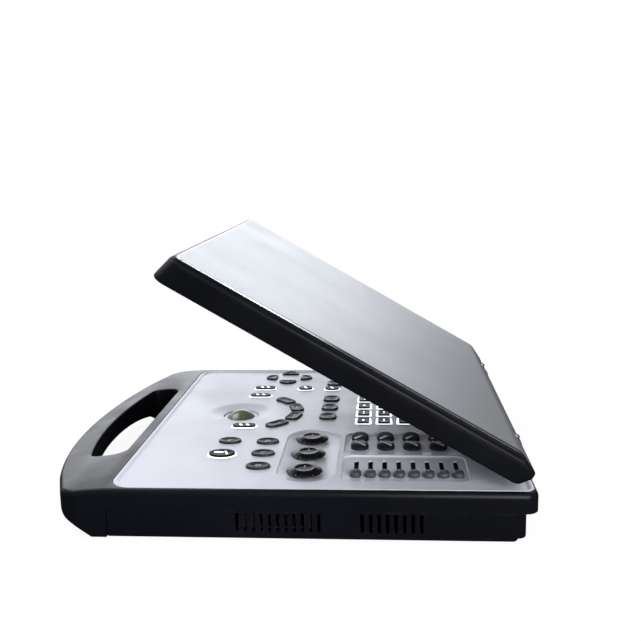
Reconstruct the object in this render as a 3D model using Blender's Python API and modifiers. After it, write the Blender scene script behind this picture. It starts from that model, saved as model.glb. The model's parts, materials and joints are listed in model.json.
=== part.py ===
"""Portable clamshell ultrasound scanner: a base with a carrying handle, a control panel and a hinged lid.

Units are metres, +Z is up. The operator sits on the -Y side, at the handle, and +X is the operator's right.
The lid stands part open, as it rests on the bench.
The sizes below are measured from a datum inside the casing. At the end everything is moved together,
so that the origin is the middle of the footprint, on the table.
"""

import math

import bmesh
import bpy
from mathutils import Matrix, Vector

MM = 0.001
GAP = 0.3 * MM

# Base casing
WIDTH = 330 * MM
SIDE = WIDTH / 2
FRONT_Y = -118 * MM
REAR_Y = 172 * MM
TABLE_Z = -2 * MM
RIM_Z = 32.3 * MM
SEAM_Z = 18 * MM
SHELL_BOTTOM_Z = 1 * MM
SHELL_REAR_Y = REAR_Y - 8 * MM
SHELL_RADII = (1 * MM, 6 * MM)  # of its front and rear corners, seen from above
PLINTH_SIDE = SIDE - 0.4 * MM
PLINTH_Y = (FRONT_Y + 2 * MM, 158.5 * MM)
PLINTH_BOTTOM_Z = TABLE_Z + 0.5 * MM
WALL = 2.5 * MM
FLOOR_Z = SHELL_BOTTOM_Z + 2 * MM
FRAME_WALL = 3 * MM
LEDGE_Z = 28.2 * MM
LEDGE_THICKNESS = 2.7 * MM
LEDGE_WIDTH = 4 * MM
TOP_ROUND = 4 * MM
REAR_RADIUS = 9 * MM

# Probe socket in the left side
PROBE_Y = (-70 * MM, -10 * MM)
PROBE_Z = (5 * MM, 23.5 * MM)
PROBE_INNER_X = -140 * MM
PROBE_FACE_DEPTH = 1.5 * MM
PROBE_RECESS_X = -152 * MM

# How far cutters reach past whatever they cut: along Z, and along X or Y
CUT_Z = (-20 * MM, 60 * MM)
CUT_REACH = 300 * MM

# Carrying handle, moulded in one with the upper frame. Its front edge is an arc of HANDLE_ARC
# about HANDLE_CENTRE_Y, drawn in steps of HANDLE_STEP degrees
HANDLE_FRONT_Y = -184 * MM
HANDLE_ARC = 400 * MM
HANDLE_CENTRE_Y = HANDLE_FRONT_Y + HANDLE_ARC
HANDLE_STEP = 3
HANDLE_CORNER = 18 * MM
HANDLE_BOTTOM_Z = TABLE_Z + 0.2 * MM
GRIP_DEPTH = 21 * MM
OPENING_HALF = 93 * MM
OPENING_REAR_Y = FRONT_Y - 8 * MM
OPENING_RADII = (8 * MM, 13 * MM)
ARCH_HALF = 98 * MM
ARCH_HEIGHT = 11.8 * MM
# The slope under the handle's front edge, from its foot up to its upper edge
UNDERCUT = (18 * MM, 1 * MM)
UNDERCUT_TOP_Z = 11.5 * MM
# The handle's top falls away towards its front edge: (y, drop) where it changes slope
HANDLE_DROPS = ((-119, 0), (-131, 0.8), (-143, 1.95), (-155, 3.5), (-168, 5.6), (-190, 9.7))

# Control panel
PANEL_SIDE = 160.5 * MM
PANEL_FRONT_Y = FRONT_Y + 0.8 * MM
PANEL_REAR_Y = REAR_Y - 2 * MM
PANEL_TOP_Z = 31 * MM
PANEL_BOTTOM_Z = LEDGE_Z + GAP
PANEL_LIP = 2.5 * MM
PANEL_RADII = (16 * MM, 8 * MM)
HOLE_Z = (20 * MM, 40 * MM)
POCKET_DEPTH = 1.2 * MM
POCKET_Z = PANEL_TOP_Z - POCKET_DEPTH

# Buttons pass through the panel and keep a flange under it
FLANGE_LIP = 1 * MM
FLANGE_BOTTOM_Z = 26.9 * MM
FLANGE_TOP_Z = PANEL_BOTTOM_Z - GAP
BUTTON_TOP_Z = 32.8 * MM
KEY_TOP_Z = 32.5 * MM
BUTTON_FIT = 0.35 * MM

# Trackball
BALL_X, BALL_Y = -17 * MM, -54 * MM
BALL_RADIUS = 14 * MM
DISH_RADIUS = 26.7 * MM
DISH_DEPTH = 4 * MM
RING_RADIUS = 15.2 * MM
RING_TOP_Z = PANEL_TOP_Z - 3.7 * MM
RING_THICKNESS = 1 * MM
BALL_SHOW_RADIUS = 11.5 * MM
BALL_Z = RING_TOP_Z - math.sqrt(BALL_RADIUS**2 - BALL_SHOW_RADIUS**2)

# Knobs, sliders and rockers
KNOB_Y = 14.4 * MM
KNOB_XS = [(125.3 - 34.8 * i) * MM for i in range(3)]
KNOB_SHAFT_RADIUS = 3.2 * MM
KNOB_POCKET_X = (51 * MM, 123 * MM)
KNOB_POCKET_Y = 15.7 * MM
KNOB_POCKET_RADIUS = 21.5 * MM
SLIDER_COUNT = 8
SLIDER_FIRST_Y = 50.7 * MM
SLIDER_PITCH = 10.2 * MM
SLIDER_X = 129.5 * MM
SLIDER_TRAVEL = 28 * MM
SLIDER_CAP = (9 * MM, 8 * MM, 4.4 * MM)
SLIDER_STEM = (5 * MM, 2.4 * MM)
SLOT_WIDTH = 3.4 * MM
ROCKER_X = 58.6 * MM
ROCKER_YS = [(52 + 20 * i) * MM for i in range(4)]
ROCKER_LENGTH = 37 * MM
ROCKER_WIDTH = 15 * MM
ROCKER_WAIST = 8 * MM
ROCKER_BOTTOM_Z = 27.6 * MM
ROCKER_TOP_Z = 33.2 * MM
ROCKER_PIVOT_Z = 29 * MM
POCKET_FRONT_Y, POCKET_REAR_Y = 40.3 * MM, 130 * MM
ROCKER_POCKET_X = (38.2 * MM, 87.5 * MM)
SLIDER_POCKET_X = (90.5 * MM, 141 * MM)

# Keyboard
KEY_COLUMNS = [(7 - 21.5 * i) * MM for i in range(8)]
KEY_ROWS = [(53.5 + 17.35 * i) * MM for i in range(5)]
KEY_SIZE = (18 * MM, 13.2 * MM)

# Lid, in its own frame: local y = LID_AXIS_S - s (s runs from the rear edge forwards),
# local z = t - LID_AXIS_T (t runs from the screen side to the cover)
LID_ANGLE = math.radians(30.4)
LID_LENGTH = 279 * MM
LID_THICKNESS = 20 * MM
LID_AXIS_S = 1.74 * MM
LID_AXIS_T = 10 * MM
HINGE_Y = 165.4 * MM
HINGE_Z = 44.5 * MM
LID_REAR_S = -1.3 * MM
LID_REAR_T = (7.6 * MM, 12.2 * MM)
SLOPE_S = 14 * MM
# The front face leans back from the bottom edge: (s, t) where it bends, and where it meets the top
LID_FRONT = ((274.3 * MM, 16.5 * MM), (271.5 * MM, LID_THICKNESS))
# The long sides step in below the cover: (x, t) of each bend above the side face
LID_STEP = ((165 * MM, 15.4 * MM), (163.6 * MM, 16.8 * MM), (161.6 * MM, 17.1 * MM),
            (161.5 * MM, 18.8 * MM), (161 * MM, LID_THICKNESS))
LID_UNDER_CHAMFER = 1 * MM
LID_PLAN_RADII = (10 * MM, 5 * MM)
COVER_SIDE = 160 * MM
COVER_S = (0.8 * MM, 269.5 * MM)
COVER_THICKNESS = 2.5 * MM
COVER_RADIUS = 6 * MM
BEZEL_T = (6.5 * MM, 8.5 * MM)
MODULE_S = (18 * MM, 260 * MM)
MODULE_SIDE = 158.5 * MM
WINDOW_SIDE = 152.5 * MM
WINDOW_S = (24.5 * MM, 253.5 * MM)
CONTROL_ROOM_S = (11 * MM, 270 * MM)
MODULE_THICKNESS = 6 * MM

# Hinge knuckles
HINGE_X = 99.4 * MM
BARREL_LENGTH = 8 * MM
BARREL_RADIUS = 4.6 * MM
BORE_RADIUS = 2.3 * MM
SHAFT_RADIUS = 2 * MM
ARM_THICKNESS = 4 * MM
ARM_SPACE = ARM_THICKNESS + 1.5 * MM
LEAF_S = 17.4 * MM
LEAF_T = (7.8 * MM, 10.8 * MM)
WEB_HALF = 2.6 * MM
NOTCH_S = 7.4 * MM

# Inside the base
CONTROL_BOARD_Z = 24 * MM
MAIN_BOARD_Z = 8 * MM
BOARD_THICKNESS = 1.6 * MM
FAN_X, FAN_Y = 132 * MM, -0.5 * MM
FAN_SIDE = 52 * MM
FAN_Z = (3.4 * MM, 16.4 * MM)
FAN_BLADES = 9
VENT_WIDTH = 2.6 * MM
VENT_Z = (3.2 * MM, 16.8 * MM)
# Rows of vents: first y, pitch and count. The left side has only the rear row
VENT_GROUPS = ((-28 * MM, 5.5 * MM, 11), (56 * MM, 5.6 * MM, 8))
FOOT_STRIPS = {"foot_strip_front": -104 * MM, "foot_strip_rear": 146 * MM}
FOOT_HALF = (140 * MM, 6 * MM)
FOOT_THICKNESS = 1.8 * MM
IO_HALF = 60 * MM
IO_Z = (4.6 * MM, 14.6 * MM)
BOARD_POSTS = [(-52 * MM, 38 * MM), (92 * MM, 38 * MM), (-52 * MM, 148 * MM), (92 * MM, 148 * MM)]
PANEL_POSTS = [(-140 * MM, -100 * MM), (145 * MM, -100 * MM), (-66 * MM, 30 * MM), (145 * MM, 158 * MM)]
POST_RADIUS = 4 * MM


def clear_scene():
    for obj in list(bpy.data.objects):
        bpy.data.objects.remove(obj, do_unlink=True)


def new_collection(name):
    collection = bpy.data.collections.new(name)
    bpy.context.scene.collection.children.link(collection)
    return collection


clear_scene()
PARTS = new_collection("ultrasound_scanner")
CUTTERS = new_collection("cutters")


# ---------- outlines, as lists of (x, y) running anticlockwise ----------


def arc(centre, radius, start, end, steps):
    """Points along an arc from start to end, in degrees, both ends included."""
    angles = [math.radians(start + (end - start) * i / steps) for i in range(steps + 1)]
    return [(centre[0] + radius * math.cos(a), centre[1] + radius * math.sin(a)) for a in angles]


def ellipse(half_x, half_y, steps=14):
    turns = [2 * math.pi * i / steps for i in range(steps)]
    return [(half_x * math.cos(a), half_y * math.sin(a)) for a in turns]


def filleted(corners, steps=4):
    """A closed outline through corners (x, y, radius), each rounded by an arc of its radius."""
    points = []
    for i, (x, y, radius) in enumerate(corners):
        corner = Vector((x, y))
        if radius == 0:
            points.append((x, y))
            continue
        before = (Vector(corners[i - 1][:2]) - corner).normalized()
        after = (Vector(corners[(i + 1) % len(corners)][:2]) - corner).normalized()
        half = before.angle(after) / 2
        centre = corner + (before + after).normalized() * (radius / math.sin(half))
        start = corner + before * (radius / math.tan(half)) - centre
        end = corner + after * (radius / math.tan(half)) - centre
        first = math.atan2(start.y, start.x)
        sweep = (math.atan2(end.y, end.x) - first + math.pi) % (2 * math.pi) - math.pi
        degrees = (math.degrees(first), math.degrees(first + sweep))
        points += arc(centre, radius, degrees[0], degrees[1], steps)
    return points


def rounded_box(x_range, y_range, radius, steps=4):
    (x0, x1), (y0, y1) = x_range, y_range
    corners = [(x1, y1), (x0, y1), (x0, y0), (x1, y0)]
    return filleted([(x, y, radius) for x, y in corners], steps)


def grown(outline, margin):
    """The outline moved outwards by margin, with mitred corners."""
    points = []
    count = len(outline)
    for i in range(count):
        here = Vector(outline[i])
        back = (here - Vector(outline[i - 1])).normalized()
        ahead = (Vector(outline[(i + 1) % count]) - here).normalized()
        normals = Vector((back.y, -back.x)), Vector((ahead.y, -ahead.x))
        moved = here + (normals[0] + normals[1]) * (margin / (1 + normals[0].dot(normals[1])))
        points.append((moved.x, moved.y))
    return points


def turned_outline(outline, degrees):
    c, s = math.cos(math.radians(degrees)), math.sin(math.radians(degrees))
    return [(x * c - y * s, x * s + y * c) for x, y in outline]


# ---------- solids ----------


def place(mesh, name, cutter=False, parent=None, location=(0, 0, 0)):
    obj = bpy.data.objects.new(name, mesh)
    obj.location = location
    obj.parent = parent
    (CUTTERS if cutter else PARTS).objects.link(obj)
    if cutter:
        obj.hide_render = True
        obj.display_type = "WIRE"
    return obj


def prism(name, outline, low, high, along="Z", **where):
    """A flat outline given thickness from low to high along Z, or along X for (y, z), or Y for (x, z)."""
    curve = bpy.data.curves.new(name, "CURVE")
    curve.dimensions = "2D"
    curve.fill_mode = "BOTH"
    curve.extrude = (high - low) / 2
    spline = curve.splines.new("POLY")
    spline.points.add(len(outline) - 1)
    for point, (x, y) in zip(spline.points, outline):
        point.co = (x, y, 0, 1)
    spline.use_cyclic_u = True
    guide = bpy.data.objects.new(name, curve)
    bpy.context.scene.collection.objects.link(guide)
    evaluated = guide.evaluated_get(bpy.context.evaluated_depsgraph_get())
    mesh = bpy.data.meshes.new_from_object(evaluated)
    bpy.data.objects.remove(guide)
    bpy.data.curves.remove(curve)
    mesh.name = name
    mesh.transform(Matrix.Translation((0, 0, (low + high) / 2)))
    if along == "X":
        mesh.transform(Matrix(((0, 0, 1, 0), (1, 0, 0, 0), (0, 1, 0, 0), (0, 0, 0, 1))))
    if along == "Y":
        mesh.transform(Matrix(((1, 0, 0, 0), (0, 0, 1, 0), (0, 1, 0, 0), (0, 0, 0, 1))))
    return place(edited(mesh, weld_and_face_out), name, **where)


def edited(mesh, change):
    """Runs change on the mesh through bmesh and returns the mesh."""
    bm = bmesh.new()
    bm.from_mesh(mesh)
    change(bm)
    bm.to_mesh(mesh)
    bm.free()
    return mesh


def weld_and_face_out(bm):
    bmesh.ops.remove_doubles(bm, verts=bm.verts, dist=0.001 * MM)
    bmesh.ops.dissolve_limit(bm, angle_limit=math.radians(1), verts=bm.verts, edges=bm.edges)
    bmesh.ops.recalc_face_normals(bm, faces=bm.faces)


def block(name, low, high, **where):
    """A box between two corners."""
    bpy.ops.mesh.primitive_cube_add(size=1)
    cube = bpy.context.object
    mesh = cube.data
    bpy.data.objects.remove(cube)
    mesh.name = name
    size = [h - l for l, h in zip(low, high)]
    middle = [(h + l) / 2 for l, h in zip(low, high)]
    mesh.transform(Matrix.Translation(middle) @ Matrix.Diagonal((*size, 1)))
    return place(mesh, name, **where)


def cylinder(name, centre, radius, length, along="Z", steps=18, **where):
    bpy.ops.mesh.primitive_cylinder_add(vertices=steps, radius=radius, depth=length)
    rod = bpy.context.object
    mesh = rod.data
    bpy.data.objects.remove(rod)
    mesh.name = name
    if along == "X":
        mesh.transform(Matrix.Rotation(math.pi / 2, 4, "Y"))
    mesh.transform(Matrix.Translation(centre))
    return place(mesh, name, **where)


def turned(name, profile, steps=24, **where):
    """A closed or axis-to-axis profile of (radius, z), running down the outer side, turned about Z."""
    mesh = bpy.data.meshes.new(name)
    bm = bmesh.new()
    verts = [bm.verts.new((radius, 0, z)) for radius, z in profile]
    for first, second in zip(verts, verts[1:]):
        bm.edges.new((first, second))
    bm.to_mesh(mesh)
    bm.free()
    obj = place(mesh, name, **where)
    screw = obj.modifiers.new("turn", "SCREW")
    screw.steps = steps
    screw.render_steps = steps
    screw.use_merge_vertices = True
    screw.merge_threshold = 0.01 * MM
    return obj


def boolean(obj, other, operation="DIFFERENCE"):
    modifier = obj.modifiers.new(operation.lower(), "BOOLEAN")
    modifier.operation = operation
    modifier.object = other
    return obj


def joined(name, pieces):
    """One cutter from several that don't touch each other."""
    bm = bmesh.new()
    for piece in pieces:
        mesh = piece.data.copy()
        mesh.transform(Matrix.Translation(piece.location))
        bm.from_mesh(mesh)
        bpy.data.meshes.remove(mesh)
    mesh = bpy.data.meshes.new(name)
    bm.to_mesh(mesh)
    bm.free()
    parent = pieces[0].parent
    for piece in pieces:
        bpy.data.objects.remove(piece)
    return place(mesh, name, cutter=True, parent=parent)


def soften_top(obj, z, width, segments):
    """Rounds the outer edges that lie at height z."""

    def change(bm):
        edges = [e for e in bm.edges if all(abs(v.co.z - z) < 0.01 * MM for v in e.verts)]
        bmesh.ops.bevel(
            bm, geom=edges, offset=width, segments=segments, profile=0.5, affect="EDGES"
        )

    edited(obj.data, change)
    return obj


def empty(name, location, x_turn=0.0):
    axis = bpy.data.objects.new(name, None)
    axis.location = location
    axis.rotation_euler = (x_turn, 0, 0)
    PARTS.objects.link(axis)
    return axis


# ---------- materials ----------


def material(name, colour, roughness, metallic=0.0):
    made = bpy.data.materials.new(name)
    made.use_nodes = True
    shader = made.node_tree.nodes["Principled BSDF"]
    shader.inputs["Base Color"].default_value = (*colour, 1)
    shader.inputs["Roughness"].default_value = roughness
    shader.inputs["Metallic"].default_value = metallic
    return made


BLACK = material("black_casing", (0.012, 0.013, 0.017), 0.45)
SILVER_PANEL = material("lavender_grey_panel", (0.64, 0.65, 0.71), 0.4)
SILVER_COVER = material("satin_silver", (0.60, 0.61, 0.63), 0.35, 0.8)
BUTTON_GREY = material("dark_button", (0.045, 0.047, 0.052), 0.5)
LIT_WHITE = material("backlit_white", (0.85, 0.86, 0.88), 0.4)
KNOB_BLACK = material("gloss_black", (0.008, 0.008, 0.009), 0.15)
SLIDER_GREY = material("slider_grey", (0.09, 0.1, 0.13), 0.45)
BALL_OLIVE = material("olive_ball", (0.24, 0.24, 0.15), 0.2)
STEEL = material("steel", (0.45, 0.45, 0.46), 0.3, 1.0)
SCREEN = material("dark_glass", (0.01, 0.011, 0.014), 0.1)
BOARD_GREEN = material("circuit_board", (0.02, 0.12, 0.05), 0.5)
RUBBER = material("rubber", (0.02, 0.02, 0.02), 0.9)
BATTERY_GREY = material("battery_wrap", (0.05, 0.05, 0.06), 0.6)


def finish(obj, chosen):
    obj.data.materials.clear()
    obj.data.materials.append(chosen)
    return obj


# ---------- base casing ----------


def handle_arc(radius, half_steps):
    """Corners without rounding along an arc about the handle's centre, from -x to +x."""
    turns = [math.radians(HANDLE_STEP * i) for i in range(-half_steps, half_steps + 1)]
    return [(radius * math.sin(a), HANDLE_CENTRE_Y - radius * math.cos(a), 0) for a in turns]


def arc_y(x, radius):
    return HANDLE_CENTRE_Y - math.sqrt(radius**2 - x**2)


def frame_outline():
    """Casing outline from above: straight sides, rounded rear, and the handle's shallow front arc."""
    rear = [(SIDE, REAR_Y, REAR_RADIUS), (-SIDE, REAR_Y, REAR_RADIUS)]
    corner_y = arc_y(SIDE, HANDLE_ARC)
    ends = [(-SIDE, corner_y, HANDLE_CORNER), (SIDE, corner_y, HANDLE_CORNER)]
    return filleted([*rear, ends[0], *handle_arc(HANDLE_ARC, 6), ends[1]])


def opening_outline():
    """The hand opening: its front edge follows the handle's arc and its rear edge is straight."""
    radius = HANDLE_ARC - GRIP_DEPTH
    front_radius, rear_radius = OPENING_RADII
    rear = [(OPENING_HALF, OPENING_REAR_Y, rear_radius), (-OPENING_HALF, OPENING_REAR_Y, rear_radius)]
    corner_y = arc_y(OPENING_HALF, radius)
    ends = [(-OPENING_HALF, corner_y, front_radius), (OPENING_HALF, corner_y, front_radius)]
    return filleted([*rear, ends[0], *handle_arc(radius, 4), ends[1]])


def handle_drop(y):
    """How far the handle's top lies under the rim at y."""
    for (near_y, near), (far_y, far) in zip(HANDLE_DROPS, HANDLE_DROPS[1:]):
        if far_y * MM <= y <= near_y * MM:
            share = (near_y * MM - y) / ((near_y - far_y) * MM)
            return (near + (far - near) * share) * MM
    return 0.0


def lower_handle(bm):
    """Cuts the frame across where the handle's slope changes, then lowers the top of the handle."""
    for y, _ in HANDLE_DROPS:
        everything = [*bm.verts, *bm.edges, *bm.faces]
        bmesh.ops.bisect_plane(bm, geom=everything, dist=1e-6, plane_co=(0, y * MM, 0), plane_no=(0, 1, 0))
    for vert in bm.verts:
        if vert.co.z > SEAM_Z:
            vert.co.z -= handle_drop(vert.co.y)


def arch_outline():
    """The finger space under the grip, seen from the front: high in the middle, falling at both ends."""
    shares = (1, 0.96, 0.88, 0.76, 0.6, 0.4, 0.2, 0, -0.2, -0.4, -0.6, -0.76, -0.88, -0.96, -1)
    flatness, ends = 2.5, 0.6
    top = [(ARCH_HALF * s, ARCH_HEIGHT * (1 - abs(s) ** flatness) ** ends) for s in shares]
    return [*top, (-ARCH_HALF, CUT_Z[0]), (ARCH_HALF, CUT_Z[0])]


def panel_outline():
    front, rear = PANEL_RADII
    corners = [
        (PANEL_SIDE, PANEL_REAR_Y, rear),
        (-PANEL_SIDE, PANEL_REAR_Y, rear),
        (-PANEL_SIDE, PANEL_FRONT_Y, front),
        (PANEL_SIDE, PANEL_FRONT_Y, front),
    ]
    return filleted(corners, 5)


def probe_cutter(name):
    low = (-CUT_REACH, PROBE_Y[0] - GAP, PROBE_Z[0] - GAP)
    high = (PROBE_INNER_X + 1 * MM, PROBE_Y[1] + GAP, PROBE_Z[1] + GAP)
    return block(name, low, high, cutter=True)


def frame_room(name, inset, top):
    """A cutter that clears the inside of the upper frame up to top, leaving walls of inset."""
    x_range = (-SIDE + inset, SIDE - inset)
    outline = rounded_box(x_range, (FRONT_Y + inset, REAR_Y - inset), REAR_RADIUS - WALL)
    return prism(name, outline, CUT_Z[0], top, cutter=True)


def make_upper_frame():
    frame = prism("upper_frame", frame_outline(), HANDLE_BOTTOM_Z, RIM_Z)
    soften_top(frame, RIM_Z, TOP_ROUND, 3)
    edited(frame.data, lower_handle)
    foot_radius, edge_radius = (HANDLE_ARC - depth for depth in UNDERCUT)
    beyond = HANDLE_ARC + 40 * MM
    runout = (HANDLE_ARC + 0.6 * MM, UNDERCUT_TOP_Z + 5 * MM)
    undercut = [
        runout,
        (beyond, runout[1]),
        (beyond, CUT_Z[0]),
        (foot_radius, CUT_Z[0]),
        (foot_radius, HANDLE_BOTTOM_Z),
        (edge_radius, UNDERCUT_TOP_Z),
        runout,
    ]
    centre = (0, HANDLE_CENTRE_Y, 0)
    under_shell = (-CUT_REACH, FRONT_Y, CUT_Z[0])
    arch_end = FRONT_Y - 6 * MM
    cuts = [
        turned("handle_undercut", undercut, 360 // HANDLE_STEP, cutter=True, location=centre),
        prism("handle_arch_cut", arch_outline(), -CUT_REACH, arch_end, along="Y", cutter=True),
        block("shell_space_cut", under_shell, (CUT_REACH, CUT_REACH, SEAM_Z + GAP / 2), cutter=True),
        prism("opening_cut", opening_outline(), *CUT_Z, cutter=True),
        prism("panel_seat_cut", grown(panel_outline(), GAP), LEDGE_Z, CUT_Z[1], cutter=True),
        frame_room("frame_hollow_cut", FRAME_WALL, LEDGE_Z - LEDGE_THICKNESS),
        frame_room("ledge_opening_cut", FRAME_WALL + LEDGE_WIDTH, CUT_Z[1]),
        probe_cutter("frame_probe_cut"),
    ]
    for cut in cuts:
        boolean(frame, cut)
    return finish(frame, BLACK)


def vent_cutters(side, groups):
    slots = []
    for first, pitch, count in groups:
        for i in range(count):
            y = first + pitch * i
            x0, x1 = sorted((side * (SIDE - WALL - 1 * MM), side * (SIDE + 1 * MM)))
            low = (x0, y - VENT_WIDTH / 2, VENT_Z[0])
            high = (x1, y + VENT_WIDTH / 2, VENT_Z[1])
            slots.append(block("vent_slot", low, high, cutter=True))
    return slots


def foot_outline(y):
    return rounded_box((-FOOT_HALF[0], FOOT_HALF[0]), (y - FOOT_HALF[1], y + FOOT_HALF[1]), 5 * MM)


def make_bottom_shell():
    front_y, front_radius, rear_radius = FRONT_Y + GAP, *SHELL_RADII
    corners = [
        (SIDE, SHELL_REAR_Y, rear_radius),
        (-SIDE, SHELL_REAR_Y, rear_radius),
        (-SIDE, front_y, front_radius),
        (SIDE, front_y, front_radius),
    ]
    shell = prism("bottom_shell", filleted(corners), SHELL_BOTTOM_Z, SEAM_Z - GAP / 2)
    plinth = rounded_box((-PLINTH_SIDE, PLINTH_SIDE), PLINTH_Y, 4 * MM)
    boolean(shell, prism("plinth", plinth, PLINTH_BOTTOM_Z, SHELL_BOTTOM_Z + 1 * MM, cutter=True), "UNION")
    hollow_y = (front_y + WALL, SHELL_REAR_Y - WALL)
    hollow = rounded_box((-SIDE + WALL, SIDE - WALL), hollow_y, rear_radius - WALL)
    boolean(shell, prism("shell_hollow_cut", hollow, FLOOR_Z, CUT_Z[1], cutter=True))
    cuts = vent_cutters(1, VENT_GROUPS) + vent_cutters(-1, VENT_GROUPS[1:])
    cuts.append(probe_cutter("shell_probe_cut"))
    cuts.append(
        block(
            "io_cut",
            (-IO_HALF - GAP, SHELL_REAR_Y - 10 * MM, IO_Z[0] - GAP),
            (IO_HALF + GAP, SHELL_REAR_Y + 10 * MM, IO_Z[1] + GAP),
            cutter=True,
        )
    )
    for y in FOOT_STRIPS.values():
        outline = grown(foot_outline(y), GAP)
        recess_top = TABLE_Z + FOOT_THICKNESS + GAP
        cuts.append(prism("foot_recess", outline, CUT_Z[0], recess_top, cutter=True))
    boolean(shell, joined("shell_cuts", cuts))
    posts = []
    for places, top in ((BOARD_POSTS, MAIN_BOARD_Z - GAP), (PANEL_POSTS, CONTROL_BOARD_Z - GAP)):
        base = FLOOR_Z - 0.5 * MM
        for x, y in places:
            middle = (x, y, (base + top) / 2)
            posts.append(cylinder("post", middle, POST_RADIUS, top - base, steps=12, cutter=True))
    boolean(shell, joined("shell_posts", posts), "UNION")
    return finish(shell, BLACK)


def make_feet():
    for name, y in FOOT_STRIPS.items():
        finish(prism(name, foot_outline(y), TABLE_Z, TABLE_Z + FOOT_THICKNESS), RUBBER)


# ---------- controls ----------


def petal_outline(width, depth, steps=7):
    """A D shape: flat on the -x side, a half ellipse on the +x side, centred on the origin."""
    turns = [math.pi * (i / steps - 0.5) for i in range(steps + 1)]
    return [(depth * math.cos(a) - depth / 2, width / 2 * math.sin(a)) for a in turns]


def arc_button_outline(radius, half_width, half_angle, steps=6):
    """A bent bar along a circle about the origin, its middle at angle 0 and then moved to the origin."""
    outer = arc((0, 0), radius + half_width, -half_angle, half_angle, steps)
    inner = arc((0, 0), radius - half_width, half_angle, -half_angle, steps)
    return [(x - radius, y) for x, y in outer + inner]


def rocker_outline():
    """A bow tie seen from above: wide ends, narrow waist."""
    half_length, half_end, half_waist = ROCKER_LENGTH / 2, ROCKER_WIDTH / 2, ROCKER_WAIST / 2
    corners = [
        (half_length, half_end, 4 * MM),
        (3 * MM, half_waist, 0),
        (-3 * MM, half_waist, 0),
        (-half_length, half_end, 3 * MM),
        (-half_length, -half_end, 3 * MM),
        (-3 * MM, -half_waist, 0),
        (3 * MM, -half_waist, 0),
        (half_length, -half_end, 4 * MM),
    ]
    return filleted(corners, 3)


def button_layout():
    """Every push button: name, outline about its centre, centre and material."""
    buttons = []
    cursor_x, cursor_y, cursor_radius = -133.5 * MM, -24 * MM, 17.5 * MM
    for i, name in enumerate(("cursor_right", "cursor_rear", "cursor_left", "cursor_front")):
        turn = 90 * i
        centre = (
            cursor_x + cursor_radius * math.cos(math.radians(turn)),
            cursor_y + cursor_radius * math.sin(math.radians(turn)),
        )
        outline = turned_outline(petal_outline(17 * MM, 11 * MM), turn)
        buttons.append((name, outline, centre, BUTTON_GREY))
    arc_radius, arc_pitch = 49.5 * MM, 29
    for i in range(4):
        turn = 46.5 + arc_pitch * i
        centre = (
            BALL_X + arc_radius * math.cos(math.radians(turn)),
            BALL_Y + arc_radius * math.sin(math.radians(turn)),
        )
        outline = turned_outline(arc_button_outline(arc_radius, 5.5 * MM, 12.2), turn)
        buttons.append((f"arc_button_{i + 1}", outline, centre, BUTTON_GREY))
    menu = rounded_box((-8 * MM, 8 * MM), (-7 * MM, 7 * MM), 5 * MM, 3)
    for i, x in enumerate((-3.5, -30.5, -57.5, -112)):
        buttons.append((f"menu_button_{i + 1}", menu, (x * MM, 23 * MM), BUTTON_GREY))
    oval = ellipse(6.5 * MM, 9 * MM)
    oval_centres = ((62, -20), (89, -20), (116, -20), (61, -50))
    for i, (x, y) in enumerate(oval_centres):
        buttons.append((f"oval_button_{i + 1}", oval, (x * MM, y * MM), BUTTON_GREY))
    freeze = ellipse(9 * MM, 11.5 * MM, 18)
    buttons.append(("freeze_button", freeze, (90.5 * MM, -51 * MM), LIT_WHITE))
    wide = rounded_box((-5.5 * MM, 5.5 * MM), (-11 * MM, 11 * MM), 5.4 * MM, 4)
    small = rounded_box((-6.5 * MM, 6.5 * MM), (-8 * MM, 8 * MM), 6.4 * MM, 4)
    pills = ((wide, -95, -43), (wide, -69, -44), (wide, 22.5, -45), (small, -94, -4), (small, -93.5, 21.4))
    for i, (outline, x, y) in enumerate(pills):
        buttons.append((f"lit_button_{i + 1}", outline, (x * MM, y * MM), LIT_WHITE))
    return buttons


BUTTONS = button_layout()
SLIDER_YS = [SLIDER_FIRST_Y + SLIDER_PITCH * i for i in range(SLIDER_COUNT)]


def moved(outline, centre):
    return [(x + centre[0], y + centre[1]) for x, y in outline]


def make_buttons():
    for name, outline, centre, chosen in BUTTONS:
        where = (*centre, 0)
        flange = prism(
            name, grown(outline, FLANGE_LIP), FLANGE_BOTTOM_Z, FLANGE_TOP_Z, location=where
        )
        cap = prism(
            f"{name}_cap", outline, FLANGE_BOTTOM_Z + 0.4 * MM, BUTTON_TOP_Z, cutter=True, location=where
        )
        boolean(flange, cap, "UNION")
        finish(flange, chosen)


def make_keypad_mat():
    x_range = (KEY_COLUMNS[-1] - 11 * MM, KEY_COLUMNS[0] + 11 * MM)
    y_range = (KEY_ROWS[0] - 9 * MM, KEY_ROWS[-1] + 9 * MM)
    mat = prism(
        "keypad_mat", rounded_box(x_range, y_range, 3 * MM), FLANGE_BOTTOM_Z, FLANGE_TOP_Z
    )
    keys = []
    half_x, half_y = KEY_SIZE[0] / 2, KEY_SIZE[1] / 2
    for x in KEY_COLUMNS:
        for y in KEY_ROWS:
            low = (x - half_x, y - half_y, FLANGE_TOP_Z - 0.6 * MM)
            keys.append(block("key", low, (x + half_x, y + half_y, KEY_TOP_Z), cutter=True))
    boolean(mat, joined("keys", keys), "UNION")
    finish(mat, LIT_WHITE)


def key_holes():
    holes = []
    half_x, half_y = KEY_SIZE[0] / 2 + BUTTON_FIT, KEY_SIZE[1] / 2 + BUTTON_FIT
    for x in KEY_COLUMNS:
        for y in KEY_ROWS:
            low = (x - half_x, y - half_y, HOLE_Z[0])
            holes.append(block("key_hole", low, (x + half_x, y + half_y, HOLE_Z[1]), cutter=True))
    return holes


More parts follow.
